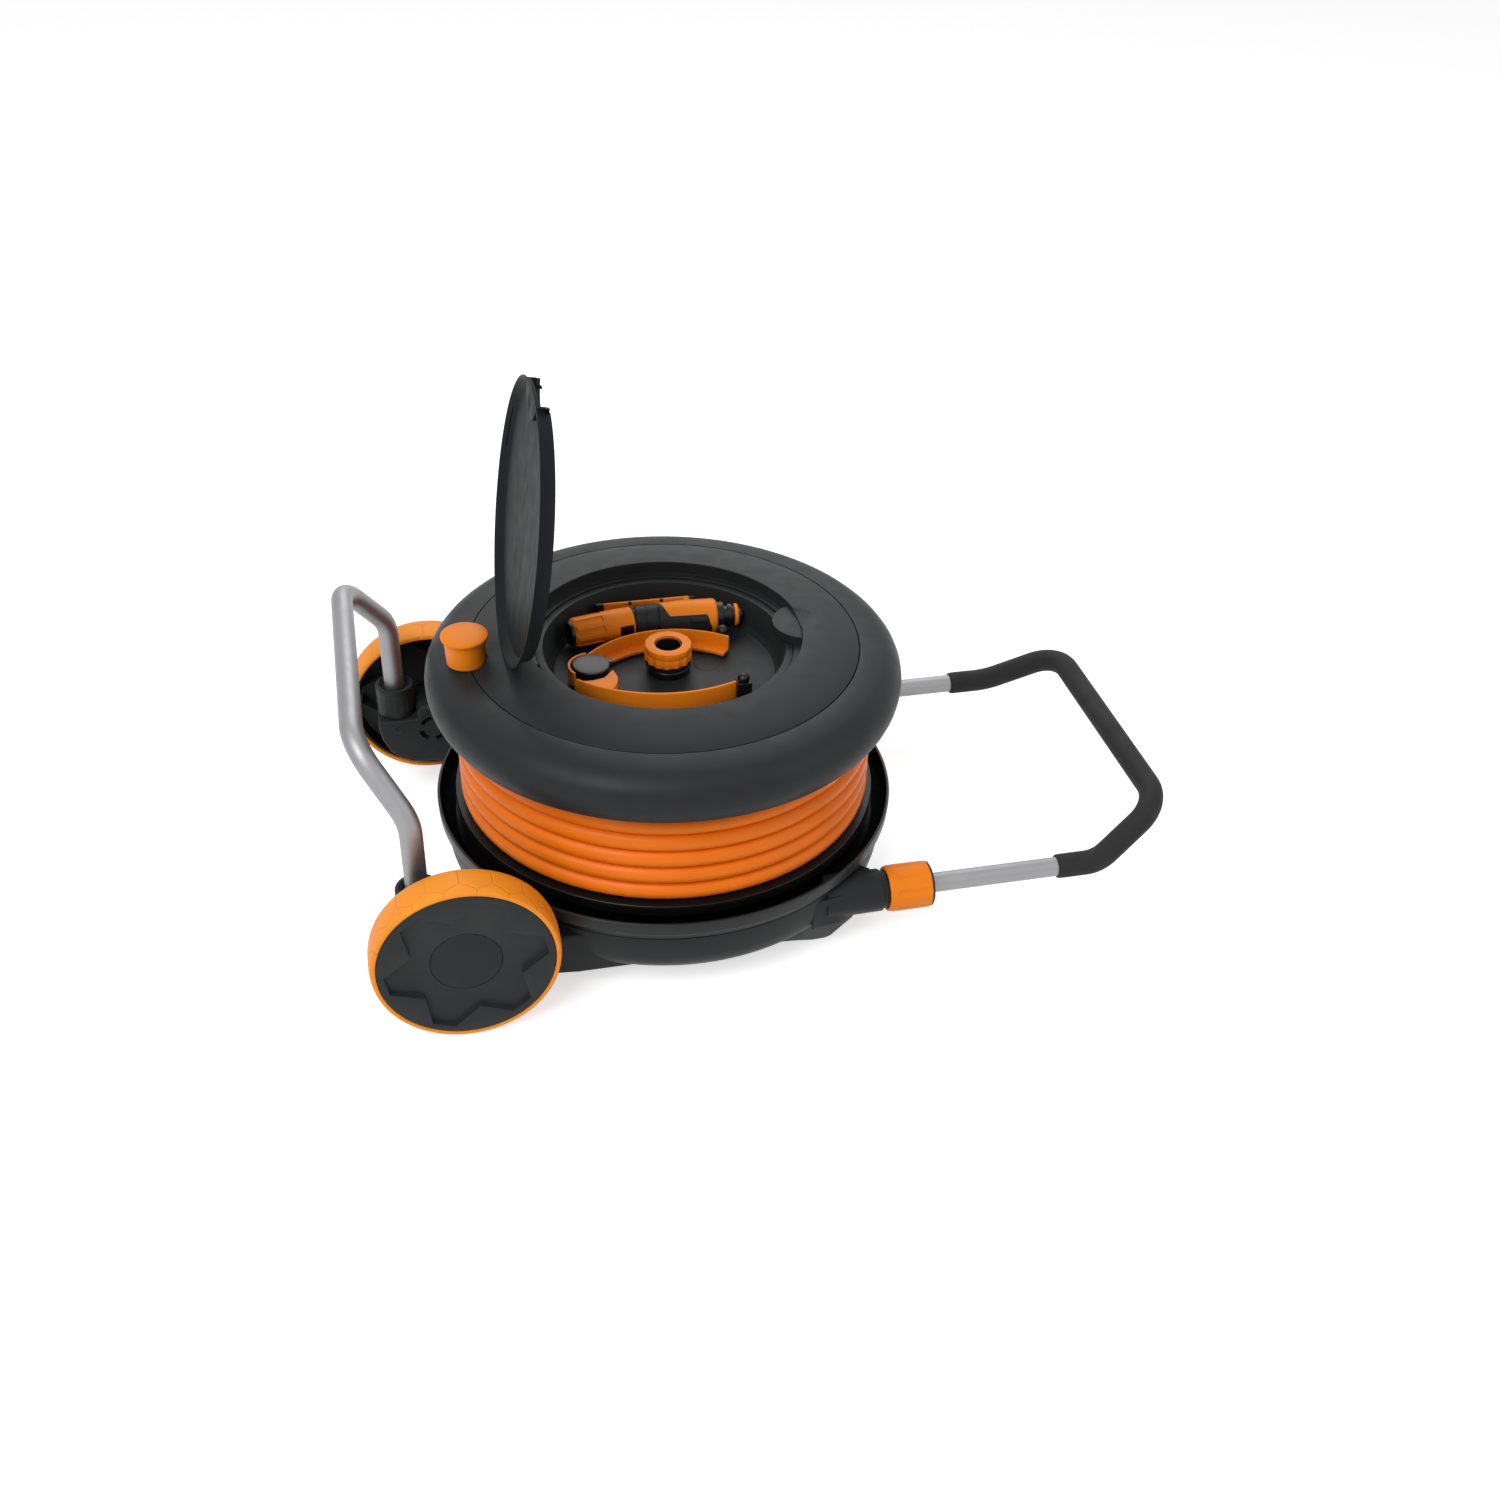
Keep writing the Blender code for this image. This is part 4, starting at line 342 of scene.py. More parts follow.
def soften(profile, radius, steps=3, loop=True):
    """A profile with an arc of about one radius at each clear corner."""
    points = []
    count = len(profile)
    for i in range(count):
        here = Vector(profile[i])
        ends = not loop and i in (0, count - 1)
        before = Vector(profile[i - 1]) - here
        after = Vector(profile[(i + 1) % count]) - here
        if ends or here.x < 1e-6 or before.angle(after) > radians(160):
            points.append(tuple(here))
            continue
        half = before.angle(after) / 2
        reach = min(radius / tan(half), before.length * 0.45, after.length * 0.45)
        start = here + before.normalized() * reach
        end = here + after.normalized() * reach
        for k in range(steps + 1):
            share = k / steps
            points.append(tuple(start * (1 - share) ** 2 + here * 2 * share * (1 - share) + end * share ** 2))
    return points


def lathe(name, profile, steps=120, round_off=0.0006, matrix=None):
    """A turned piece from (radius, height) points: a closed loop, or open where both ends lie on the axis."""
    loop = profile[0][0] > 1e-6
    profile = soften(profile, round_off, loop=loop) if round_off else profile
    verts, faces, rings = [], [], []
    for radius, height in profile:
        first = len(verts)
        if radius < 1e-6:
            verts.append((0.0, 0.0, height))
            rings.append([first] * steps)
            continue
        for i in range(steps):
            verts.append((*polar(radius, 2 * pi * i / steps), height))
        rings.append(list(range(first, first + steps)))
    if loop:
        rings.append(rings[0])
    for upper, lower in zip(rings, rings[1:]):
        for i in range(steps):
            j = (i + 1) % steps
            corners = [upper[i], lower[i], lower[j], upper[j]]
            faces.append(list(dict.fromkeys(corners)))
    thing = object_of(name, verts, faces)
    if matrix is not None:
        thing.matrix_world = matrix
    return thing


def plug(radius, high, low, steps, matrix=None, round_off=0.0):
    """A cylinder for a cut or a union, from high down to low."""
    return lathe("plug", [(0.0, high), (radius, high), (radius, low), (0.0, low)], steps, round_off, matrix)


def within(thing, radius, steps):
    """Trim a part of the deck or lid to a radius round the spindle."""
    carve(thing, plug(radius, 0.3, 0.2, steps), operation="INTERSECT")


def ball(radius, half_steps, place):
    """A sphere round a place."""
    points = [(radius * sin(a), radius * cos(a)) for a in
              [pi * i / half_steps for i in range(1, half_steps)]]
    return lathe("ball", [(0.0, radius)] + points + [(0.0, -radius)], 2 * half_steps, 0.0, Matrix.Translation(place))


def sphere_profile(radius, start, end, count):
    """Profile points of a sphere round the origin, between two heights."""
    return [(sqrt(max(0.0, radius ** 2 - height ** 2)), height) for height in stepped(start, end, count)]


def sweep(name, route, radius, sides):
    """A round bar along a route, with closed ends; the radius is one number or one for each point."""
    route = [Vector(point) for point in route]
    radii = radius if isinstance(radius, (list, tuple)) else [radius] * len(route)
    ahead = (route[1] - route[0]).normalized()
    across = ahead.orthogonal().normalized()
    verts, faces = [], []
    for i, spot in enumerate(route):
        before = route[max(i - 1, 0)]
        after = route[min(i + 1, len(route) - 1)]
        heading = (after - before).normalized()
        across = (ahead.rotation_difference(heading) @ across).normalized()
        ahead = heading
        beside = ahead.cross(across)
        for k in range(sides):
            angle = 2 * pi * k / sides
            verts.append(spot + (across * cos(angle) + beside * sin(angle)) * radii[i])
    for i in range(len(route) - 1):
        for k in range(sides):
            a, b = i * sides + k, i * sides + (k + 1) % sides
            faces.append((a, b, b + sides, a + sides))
    faces.append(tuple(range(sides)))
    faces.append(tuple(range(len(verts) - sides, len(verts))))
    return object_of(name, verts, faces)


def rounded_route(corners, radius, steps=14):
    """Straight runs with an arc of one radius at each inner corner."""
    corners = [Vector(corner) for corner in corners]
    route = [corners[0]]
    for before, corner, after in zip(corners, corners[1:], corners[2:]):
        back = (before - corner).normalized()
        ahead = (after - corner).normalized()
        half = back.angle(ahead) / 2
        centre = corner + (back + ahead).normalized() * radius / sin(half)
        start = corner + back * radius / tan(half) - centre
        end = corner + ahead * radius / tan(half) - centre
        sweep_angle = start.angle(end)
        for i in range(steps + 1):
            share = i / steps
            arm = start * sin((1 - share) * sweep_angle) + end * sin(share * sweep_angle)
            route.append(centre + arm / sin(sweep_angle))
    route.append(corners[-1])
    return route


def tube_route(half):
    """A bent tube's route, through half its corners on the near side and back through the same on the far side."""
    return rounded_route([(x, -y, z) for x, y, z in half] + half[::-1], TUBE_BEND_R)


def slab(name, outline, low, high, along="Z", edge=0.0, segments=3):
    """A flat outline pushed from low to high; along Y its points are (x, z)."""
    def spot(point, depth):
        return (point[0], point[1], depth) if along == "Z" else (point[0], depth, point[1])

    count = len(outline)
    verts = [spot(point, low) for point in outline] + [spot(point, high) for point in outline]
    faces = [tuple(range(count)), tuple(range(count, 2 * count))]
    for i in range(count):
        j = (i + 1) % count
        faces.append((i, j, j + count, i + count))
    thing = object_of(name, verts, faces)
    if edge:
        bevel(thing, edge, segments)
    return thing


def block(name, low, high, edge=0.0):
    """A box between two corners with rounded edges."""
    outline = [(low[0], low[1]), (high[0], low[1]), (high[0], high[1]), (low[0], high[1])]
    return slab(name, outline, low[2], high[2], "Z", edge)


def bevel(thing, width, segments=2, angle=35):
    """Round off an object's sharp edges."""
    step = thing.modifiers.new("edges", "BEVEL")
    step.width = width
    step.segments = segments
    step.limit_method = "ANGLE"
    step.angle_limit = radians(angle)
    bake(thing)


def carve(thing, *others, operation="DIFFERENCE"):
    """Cut, join or intersect with other objects, which are used up."""
    for other in others:
        step = thing.modifiers.new("carve", "BOOLEAN")
        step.object = other
        step.operation = operation
        step.solver = "EXACT"
        bake(thing)
        bpy.data.objects.remove(other, do_unlink=True)


def notch(thing, angles, *box):
    """Cut one box out of a piece at several angles round +Z, in degrees."""
    for angle in angles:
        cut = block("cut", *box)
        cut.matrix_world = turned(angle)
        carve(thing, cut)


def join(name, *things):
    """Put several meshes into one object, each in its own place."""
    work = bmesh.new()
    for thing in things:
        bpy.context.view_layer.update()
        mesh = thing.data.copy()
        mesh.transform(thing.matrix_world)
        work.from_mesh(mesh)
        bpy.data.objects.remove(thing, do_unlink=True)
    mesh = bpy.data.meshes.new(name)
    work.to_mesh(mesh)
    work.free()
    return placed(name, mesh)


def arc(centre, radius, start, end, count):
    """Points on an arc, angles in radians."""
    points = [polar(radius, angle) for angle in stepped(start, end, count)]
    return [(centre[0] + x, centre[1] + y) for x, y in points]


def ease(share):
    """A smooth step from 0 to 1."""
    share = min(max(share, 0.0), 1.0)
    return (1 - cos(pi * share)) / 2


def rod_matrix(place, direction):
    """A matrix that lays a turned piece's +Z along a direction."""
    return Matrix.Translation(place) @ Vector(direction).to_track_quat("Z", "Y").to_matrix().to_4x4()


def turned(degrees):
    """A turn about +Z."""
    return Matrix.Rotation(radians(degrees), 4, "Z")


def make_camera():
    """The photograph's camera, fitted to the circles and straight tubes in it."""
    level = cos(CAMERA_ELEVATION)
    back = Vector((sin(CAMERA_AZIMUTH) * level, -cos(CAMERA_AZIMUTH) * level, sin(CAMERA_ELEVATION)))
    right = Vector((cos(CAMERA_AZIMUTH), sin(CAMERA_AZIMUTH), 0.0))
    up = back.cross(right)
    tilted_right = right * cos(CAMERA_ROLL) + up * sin(CAMERA_ROLL)
    tilted_up = up * cos(CAMERA_ROLL) - right * sin(CAMERA_ROLL)
    camera = placed("camera", bpy.data.cameras.new("camera"))
    camera.matrix_world = Matrix.Translation(SPINDLE + CAMERA_TARGET + back * CAMERA_DISTANCE) @ Matrix(
        (tilted_right, tilted_up, back)).transposed().to_4x4()
    camera.data.sensor_width = 36.0
    camera.data.lens = CAMERA_LENS
    bpy.context.scene.camera = camera


def area_light(name, place, size, power):
    """A soft square lamp aimed at the reel."""
    lamp = bpy.data.lights.new(name, "AREA")
    lamp.size = size
    lamp.energy = power
    placed(name, lamp).matrix_world = rod_matrix(place, Vector(place) - LAMP_AIM)


def make_stage():
    """A white floor that keeps the shadow, soft lamps and a pale surround."""
    floor = object_of("floor", [(-6, -6, 0), (6, -6, 0), (6, 6, 0), (-6, 6, 0)], [(0, 1, 2, 3)])
    floor.location.z = -0.0006
    material = bpy.data.materials.new("floor")
    material.use_nodes = True
    tree = material.node_tree
    tree.nodes.clear()
    diffuse = node(tree, "ShaderNodeBsdfDiffuse", Color=(0.80, 0.80, 0.80, 1.0))
    glow = node(tree, "ShaderNodeEmission", Color=(1.0, 1.0, 1.0, 1.0),
                Strength=maths(tree, "MULTIPLY", background_rays(tree), FLOOR_GLOW))
    both = tree.nodes.new("ShaderNodeAddShader")
    tree.links.new(diffuse.outputs[0], both.inputs[0])
    tree.links.new(glow.outputs[0], both.inputs[1])
    node(tree, "ShaderNodeOutputMaterial", Surface=both.outputs[0])
    floor.data.materials.append(material)
    world = bpy.data.worlds.new("world")
    bpy.context.scene.world = world
    world.use_nodes = True
    tree = world.node_tree
    background = tree.nodes["Background"]
    background.inputs["Color"].default_value = (1.0, 1.0, 1.0, 1.0)
    white = maths(tree, "MULTIPLY", background_rays(tree), 1.0 - WORLD_LIGHT)
    tree.links.new(maths(tree, "ADD", WORLD_LIGHT, white), background.inputs["Strength"])
    area_light("key", (-1.3, -1.3, 2.1), 1.4, 42.0)
    area_light("fill", (1.9, -1.2, 1.3), 1.6, 8.0)
    area_light("back", (0.3, 1.8, 1.9), 1.6, 20.0)
    bpy.context.scene.view_settings.view_transform = "Standard"


def background_rays(tree):
    """1 for the rays that show the background: camera, glossy and transmission rays."""
    paths = tree.nodes.new("ShaderNodeLightPath")
    plain = maths(tree, "MAXIMUM", paths.outputs["Is Camera Ray"], paths.outputs["Is Glossy Ray"])
    return maths(tree, "MAXIMUM", plain, paths.outputs["Is Transmission Ray"])


def make_base():
    """The bowl, its side arms, handle sockets, front feet and inlet boss."""
    wall, brim = 0.0028, SEAM_Z - 0.0003
    inner = [(0.0400, FLOOR_Z + wall), (0.0300, 0.0200), (0.0115, 0.0345), (0.0050, 0.0450), (wall, 0.0600),
             (wall, brim)]
    outer = [(0.0, brim), (0.0006, 0.0600), (0.0014, 0.0480), (0.0034, 0.0400), (0.0066, 0.0345), (0.0108, 0.0295),
             (0.0160, 0.0250), (0.0215, 0.0208), (0.0275, 0.0168), (0.0330, 0.0138), (0.0385, FLOOR_Z)]
    shell = [(BOWL_R - inset, height) for inset, height in inner + outer]
    bowl = lathe("base_bowl", [(0.0, FLOOR_Z + wall)] + shell + [(0.0, FLOOR_Z)], 160)
    dress(bowl, "charcoal", "base", "chassis")
    for side, sign in SIDES:
        low, high = sorted((sign * ARM_Y, sign * 0.1780))
        outline = [(-0.1650, 0.0260), (-0.1100, 0.0210), (-0.0400, 0.0210), (-0.0400, 0.0640), (-0.1650, 0.0640)]
        arm = slab("base_arm_" + side, outline, low, high, "Y", 0.0030)
        along = rod_matrix((0, sign * TUBE_Y, TUBE_Z), (1, 0, 0))
        carve(arm, plug(TUBE_BORE_R, -0.0300, -0.1125, 48, along))
        dress(arm, "charcoal", "base")
        socket = lathe("handle_socket_" + side, [
            (0.0, 0.1700), (0.0125, 0.1700), (0.0125, 0.1738), (0.0176, 0.1738), (0.0176, 0.1692), (0.0194, 0.1686),
            (0.0195, 0.1600), (0.0197, 0.1450), (0.0200, 0.1300), (0.0205, 0.1150), (0.0, 0.1150)], 64, 0.0008, along)
        dress(socket, "charcoal", "base")
        make_foot(side, sign, along)
    boss = lathe("inlet_boss", [(0.0122, 0.2040), (0.0145, 0.2040), (0.0150, 0.1850), (0.0122, 0.1850)], 48, 0.0005,
                 rod_matrix((0, 0, 0.0300), (0, 1, 0)))
    dress(boss, "charcoal", "base")


def make_foot(side, sign, along):
    """A front foot that grows out of the bowl, with the root of the handle socket above it."""
    middle = sign * 0.1430
    foot = slab("foot", [
        (0.1080, 0.0), (0.1220, 0.0), (0.1270, 0.0040), (0.1420, 0.0330), (0.1460, 0.0490), (0.0500, TUBE_Z),
        (0.0500, 0.0125), (0.0700, 0.0110), (0.0850, 0.0072), (0.0980, 0.0032)], middle - 0.0110, middle + 0.0110, "Y")
    for vertex in foot.data.vertices:
        if abs(vertex.co.y) > abs(middle):
            vertex.co.y += sign * (0.4 * vertex.co.z + 0.12 * max(0.1080 - vertex.co.x, 0.0))
    bevel(foot, 0.0022, 3)
    carve(foot, plug(TUBE_BORE_R, 0.1160, 0.0300, 48, along))
    plan = []
    for share in stepped(0, 1, 15):
        radius = BOWL_R - 0.0006 + 0.0121 * ease(share / 0.45) - 0.0020 * ease((share - 0.65) / 0.35)
        plan.append(polar(radius, radians(60.5 - 20.0 * share)))
    plan += [polar(BOWL_R - 0.0030, radians(degrees)) for degrees in (40.5, 60.5)]
    root = slab("root", [(x, sign * y) for x, y in plan], 0.0352, 0.0664, "Z", 0.0020)
    dress(join("front_foot_" + side, foot, root), "charcoal", "base")


def make_tray():
    """The drip tray: a dished ring with a rolled rim; within the rim and in the seam under it the colour fades to
    painted shade, near black standing in for shadow.
    """
    profile = [
        (TRAY_R, TRAY_Z - 0.0002), (TRAY_R - 0.0002, TRAY_Z - 0.0060), (TRAY_R - 0.0006, TRAY_Z - 0.0120),
        (BOWL_R + 0.0034, 0.0762), (BOWL_R + 0.0008, 0.0712), (BOWL_R - 0.0032, 0.0710), (BOWL_R - 0.0032, 0.0692),
        (BOWL_R - 0.0095, 0.0647), (0.0233, 0.0647), (0.0233, 0.0675), (BOWL_R - 0.0150, 0.0675),
        (BOWL_R - 0.0090, 0.0682), (BOWL_R - 0.0040, 0.0710), (BOWL_R + 0.0004, 0.0752),
        (TRAY_R - 0.0034, TRAY_Z - 0.0110), (TRAY_R - 0.0028, TRAY_Z - 0.0002)]
    dress(lathe("drip_tray", profile, 180, 0.0011), "tray", "base", "tray")


def make_frame():
    """The foot tube, its ribbed clamp collars, the brackets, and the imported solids' materials."""
    route = tube_route([(LEG.x, LEG.y, 0.0600), (LEG.x, LEG.y, 0.1937), (-0.2790, 0.1257, 0.2545)])
    dress(sweep("foot_bar", route, FOOT_TUBE_R, 28), "tube", "base", "foot_tube")
    for side, sign in SIDES:
        seat = COLLAR_SEAT_Z + 0.0003
        collar = lathe("clamp_collar_" + side, [
            (0.0178, 0.1250), (0.0184, 0.1236), (0.0185, 0.1180), (0.0182, 0.1172), (0.0180, 0.0960), (0.0174, seat),
            (FOOT_TUBE_R + 0.0003, seat), (FOOT_TUBE_R + 0.0003, 0.1205), (0.0128, 0.1205), (0.0130, 0.1232),
            (0.0146, 0.1234), (0.0148, 0.1250)], 60, 0.0005)
        ribs = [lathe("rib", [(0.0, 0.1165), (0.0008, 0.1160), (0.0008, 0.0985), (0.0, 0.0980)], 8, 0,
                      Matrix.Translation((*polar(0.0176, 2 * pi * i / 20), 0.0))) for i in range(20)]
        dress(join("clamp_collar_" + side, collar, *ribs), "charcoal", "base", "leg_collar_" + side,
              matrix=Matrix.Translation((LEG.x, sign * LEG.y, 0)))
        make_bracket(side, sign)
    for look, names in (("steel", ("axle_near", "axle_far", "knob_stud", "lid_hinge_pin")),
                        ("charcoal", ("spindle", "flange_top", "drum_core", "swivel", "hose_coupling")),
                        ("black", ("spindle_seal", "inlet_pipe", "handle_stop_near", "handle_stop_far", "feed_pipe")),
                        ("orange", ("inlet_connector",))):
        for name in names:
            coat(frame["nodes"][name], look)


def make_bracket(side, sign):
    """The elbow between a side arm and the foot tube's leg, with slots round the axle and a socket screw."""
    outline = [
        (-0.2600, 0.0919), (-0.2222, 0.0919), (-0.2222, 0.1012), (-0.2195, 0.1038), (-0.2080, 0.1030),
        (-0.1960, 0.0985), (-0.1860, 0.0910), (-0.1780, 0.0800), (-0.1700, 0.0690), (-0.1653, 0.0640),
        (-0.1653, 0.0262), (-0.1800, 0.0300), (-0.1930, 0.0370), (-0.2034, 0.0402), (-0.2124, 0.0402),
        (-0.2299, 0.0417), (-0.2421, 0.0474), (-0.2513, 0.0565), (-0.2574, 0.0698), (-0.2600, 0.0840)]
    low, high = sorted((sign * ARM_Y, sign * 0.1806))
    elbow = slab("elbow", outline, low, high, "Y", 0.0030)
    inward = rod_matrix((WHEEL.x, sign * ARM_Y, WHEEL.z), (0, -sign, 0))
    carve(elbow, lathe("pad", [(0.0, 0.0007), (0.0164, 0.0007), (0.0170, -0.0010), (0.0, -0.0010)], 72, 0.0, inward),
          operation="UNION")
    for i in range(4):
        ends = [radians(90 * i + 35 + turn) for turn in (-28, 28)]
        slot = slab("slot", arc((0, 0), 0.0145, *ends, 9) + arc((0, 0), 0.0095, *reversed(ends), 9), -0.0050, 0.0050)
        slot.matrix_world = inward
        carve(elbow, slot)
    dress(elbow, "charcoal", "base", "bracket_" + side)
    seat = rod_matrix((LEG.x - 0.0011, sign * ARM_Y, COLLAR_SEAT_Z - 0.0088), (0, -sign, 0))
    screw = lathe("bracket_bolt_" + side, [
        (0.0, -0.0004), (0.0012, -0.0004), (0.0014, 0.0008), (0.0032, 0.0008), (0.0034, 0.0), (0.0034, -0.0010),
        (0.0, -0.0010)], 48, 0.0001, seat)
    dress(screw, "charcoal", "base", "bracket_screw_" + side)
    ring = lathe("bracket_bolt_ring_" + side, [
        (0.0035, 0.0004), (0.0052, 0.0004), (0.0052, -0.0010), (0.0035, -0.0010)], 48, 0.0001, seat)
    dress(ring, "black", "base")


def star_outline():
    """The star recess of a wheel: six cut-off tips with straight flanks down to the valleys."""
    tip_r, tip_w, valley_r = 0.0686, 0.0196, 0.0480
    half = asin(tip_w / 2 / tip_r)
    step = pi / 3
    points = []
    for i in range(6):
        middle = STAR_TURN + i * step
        points += [polar(tip_r, middle - half), polar(tip_r, middle + half), polar(valley_r, middle + step / 2)]
    return points


def make_wheel(side, sign):
    """A wheel: tyre with thin tread lines, hub with its star recess, ribs behind, and a plain cap."""
    matrix = Matrix.Translation(WHEEL) @ Matrix.Rotation(-sign * pi / 2, 4, "X")
    body = "wheel_" + side
    face, inner, rim = WHEEL_FACE, WHEEL_FACE - WHEEL_W, WHEEL_R - TYRE_WALL
    crown = [(WHEEL_R - 0.0016 * (2 * across - 1) ** 4, face - 0.0008 - (WHEEL_W - 0.0016) * across)
             for across in stepped(0, 1, 9)]
    tyre = lathe("wheel_tyre_" + side, [(WHEEL_R - 0.0032, face)] + crown + [
        (WHEEL_R - 0.0030, inner), (rim, inner), (rim, face)], 144, 0.0007, matrix)
    dress(tyre, "tyre", body, "tyre_" + side)
    back = face - 0.0105
    wall = rim - 0.0003
    hub = lathe("wheel_hub_" + side, [
        (0.0, face), (wall - 0.0008, face), (wall, face - 0.0008), (wall, inner + 0.0022),
        (wall - 0.0022, inner + 0.0022), (wall - 0.0030, back), (0.0150, back), (0.0140, inner - 0.0010),
        (0.0063, inner - 0.0010), (0.0063, face - 0.0080), (0.0, face - 0.0080)], 120, 0.0)
    outline = star_outline()
    top = face - STAR_DEPTH
    carve(hub, slab("star", outline, top, face + 0.01), plug(CAP_R + 0.0004, face + 0.01, top - 0.0015, 96))
    bevel(hub, 0.0006, 2, 40)
    # the hub's inner side carries painted shade from its material
    dress(hub, "hub", body, "hub_" + side, matrix=matrix)
    ribs = slab("wheel_ribs_" + side, outline, inner + 0.0080, back + 0.001)
    carve(ribs, slab("core", [(u * 0.985, v * 0.985) for u, v in outline], inner, back + 0.01))
    dress(ribs, "charcoal", body, matrix=matrix)
    cap = lathe("wheel_cap_" + side, [
        (0.0, top + 0.0003), (CAP_R, top + 0.0001), (CAP_R, top - 0.0014), (0.0, top - 0.0014)], 96, 0.0005, matrix)
    dress(cap, "charcoal", body, "hub_cap_" + side)


def make_handle():
    """The sliding handle and its foam grip."""
    route = tube_route([(-0.0200, TUBE_Y, TUBE_Z), (0.3818, TUBE_Y, TUBE_Z), (0.4490, 0.1315, 0.0943)])
    dress(sweep("handle_bar", route, TUBE_R, 28), "tube", "handle", "handle_tube")
    lead = [Vector((0.3400, TUBE_Y, TUBE_Z)) + Vector((step, 0, 0)) for step in (0.0, 0.0008, 0.0030)]
    grip_route = [Vector((spot.x, -spot.y, spot.z)) for spot in lead] + route[1:-1] + lead[::-1]
    radii = [0.0100, 0.0109] + [0.0114] * (len(grip_route) - 4) + [0.0109, 0.0100]
    dress(sweep("foam_grip", grip_route, radii, 32), "foam", "handle", "handle_grip")


def make_twist_collar(side, sign):
    """An orange clamp collar with broad shallow flutes and a dark lip round its outer end."""
    start, end, radius = 0.1743, 0.2146, 0.0214
    collar = lathe("twist_collar_" + side, [
        (radius - 0.0016, end), (radius - 0.0002, end - 0.0020), (radius, start + 0.0100),
        (radius - 0.0003, start + 0.0030), (radius - 0.0012, start), (0.0178, start), (0.0178, start + 0.0030),
        (0.0131, start + 0.0030), (0.0131, 0.2003), (0.0093, 0.2003), (0.0093, end)], 96, 0.0007)
    groove = [(0.0, end + 0.01), (0.0082, end + 0.01), (0.0082, start + 0.0080), (0.0070, start + 0.0060),
              (0.0, start + 0.0055)]
    for i in range(8):
        spot = (*polar(radius + 0.0070, 2 * pi * (i + 0.5) / 8), 0)
        carve(collar, lathe("groove", groove, 32, 0.0, Matrix.Translation(spot)))
    matrix = Matrix.Translation((0, sign * TUBE_Y, TUBE_Z)) @ Matrix.Rotation(pi / 2, 4, "Y")
    dress(collar, "orange", "twist_" + side, "collar_" + side, matrix=matrix)
    lip = lathe("collar_lip_" + side, [
        (0.0204, end - 0.0006), (0.0206, end + 0.0006), (0.0200, end + 0.0014), (0.0105, end + 0.0014),
        (0.0095, end + 0.0004), (0.0095, end - 0.0006)], 72, 0.0003, matrix)
    dress(lip, "black", "twist_" + side)


def make_drum():
    """The flanges' visible shells, the deck and the bin."""
    rim = lathe("flange_rim", [
        (0.1757, 0.2449), (0.1850, 0.2438), (0.1950, 0.2421), (0.2005, 0.2401), (0.2048, 0.2374), (0.2087, 0.2339),
        (0.2118, 0.2296), (0.2139, 0.2245), (0.2148, 0.2190), (0.2146, 0.2135), (0.2136, 0.2086), (0.2114, 0.2032),
        (0.2085, 0.1986), (0.2062, 0.1988), (0.2103, 0.2080), (0.2118, 0.2180), (0.2090, 0.2282), (0.2028, 0.2350),
        (0.1940, 0.2391), (0.1757, 0.2419)], 192, 0.0008)
    dress(rim, "charcoal", "drum", "rim_ring")
    low = 0.0975
    flange = lathe("lower_flange", [
        (0.1958, low), (0.1958, 0.0870), (0.1928, 0.0870), (0.1928, low - 0.0045), (0.0300, low - 0.0045),
        (0.0260, 0.0833), (0.0155, 0.0833), (0.0155, low + 0.0100), (0.0230, low + 0.0100), (0.0230, low)], 180, 0.0008)
    # painted shade: the lower flange is near black, standing in for the shadow under the hose and the flange above
    dress(flange, "shade", "drum", "flange_bottom")
    make_deck()
    bin_cup = lathe("accessory_bin", [
        (0.0, CUP_FLOOR_Z), (0.0970, CUP_FLOOR_Z), (0.1005, 0.2120), (0.1040, 0.2168), (0.1092, CUP_STEP_Z),
        (LEDGE_IN_R - 0.0004, CUP_STEP_Z), (LEDGE_IN_R - 0.0004, 0.2388), (0.1202, 0.2388), (0.1202, 0.2363),
        (0.1120, 0.2363), (0.1068, 0.2150), (0.0990, 0.2082), (0.0, 0.2082)], 160, 0.0007)
    groove_z = CUP_FLOOR_Z - 0.0004
    ring = [(0.0121, 0.22), (0.0121, groove_z), (0.0115, groove_z), (0.0115, 0.22)]
    carve(bin_cup, lathe("floor_ring", ring, 64, 0.0, Matrix.Translation((0.0400, 0.0050, 0))))
    dress(bin_cup, "charcoal", "drum", "bin_cup")


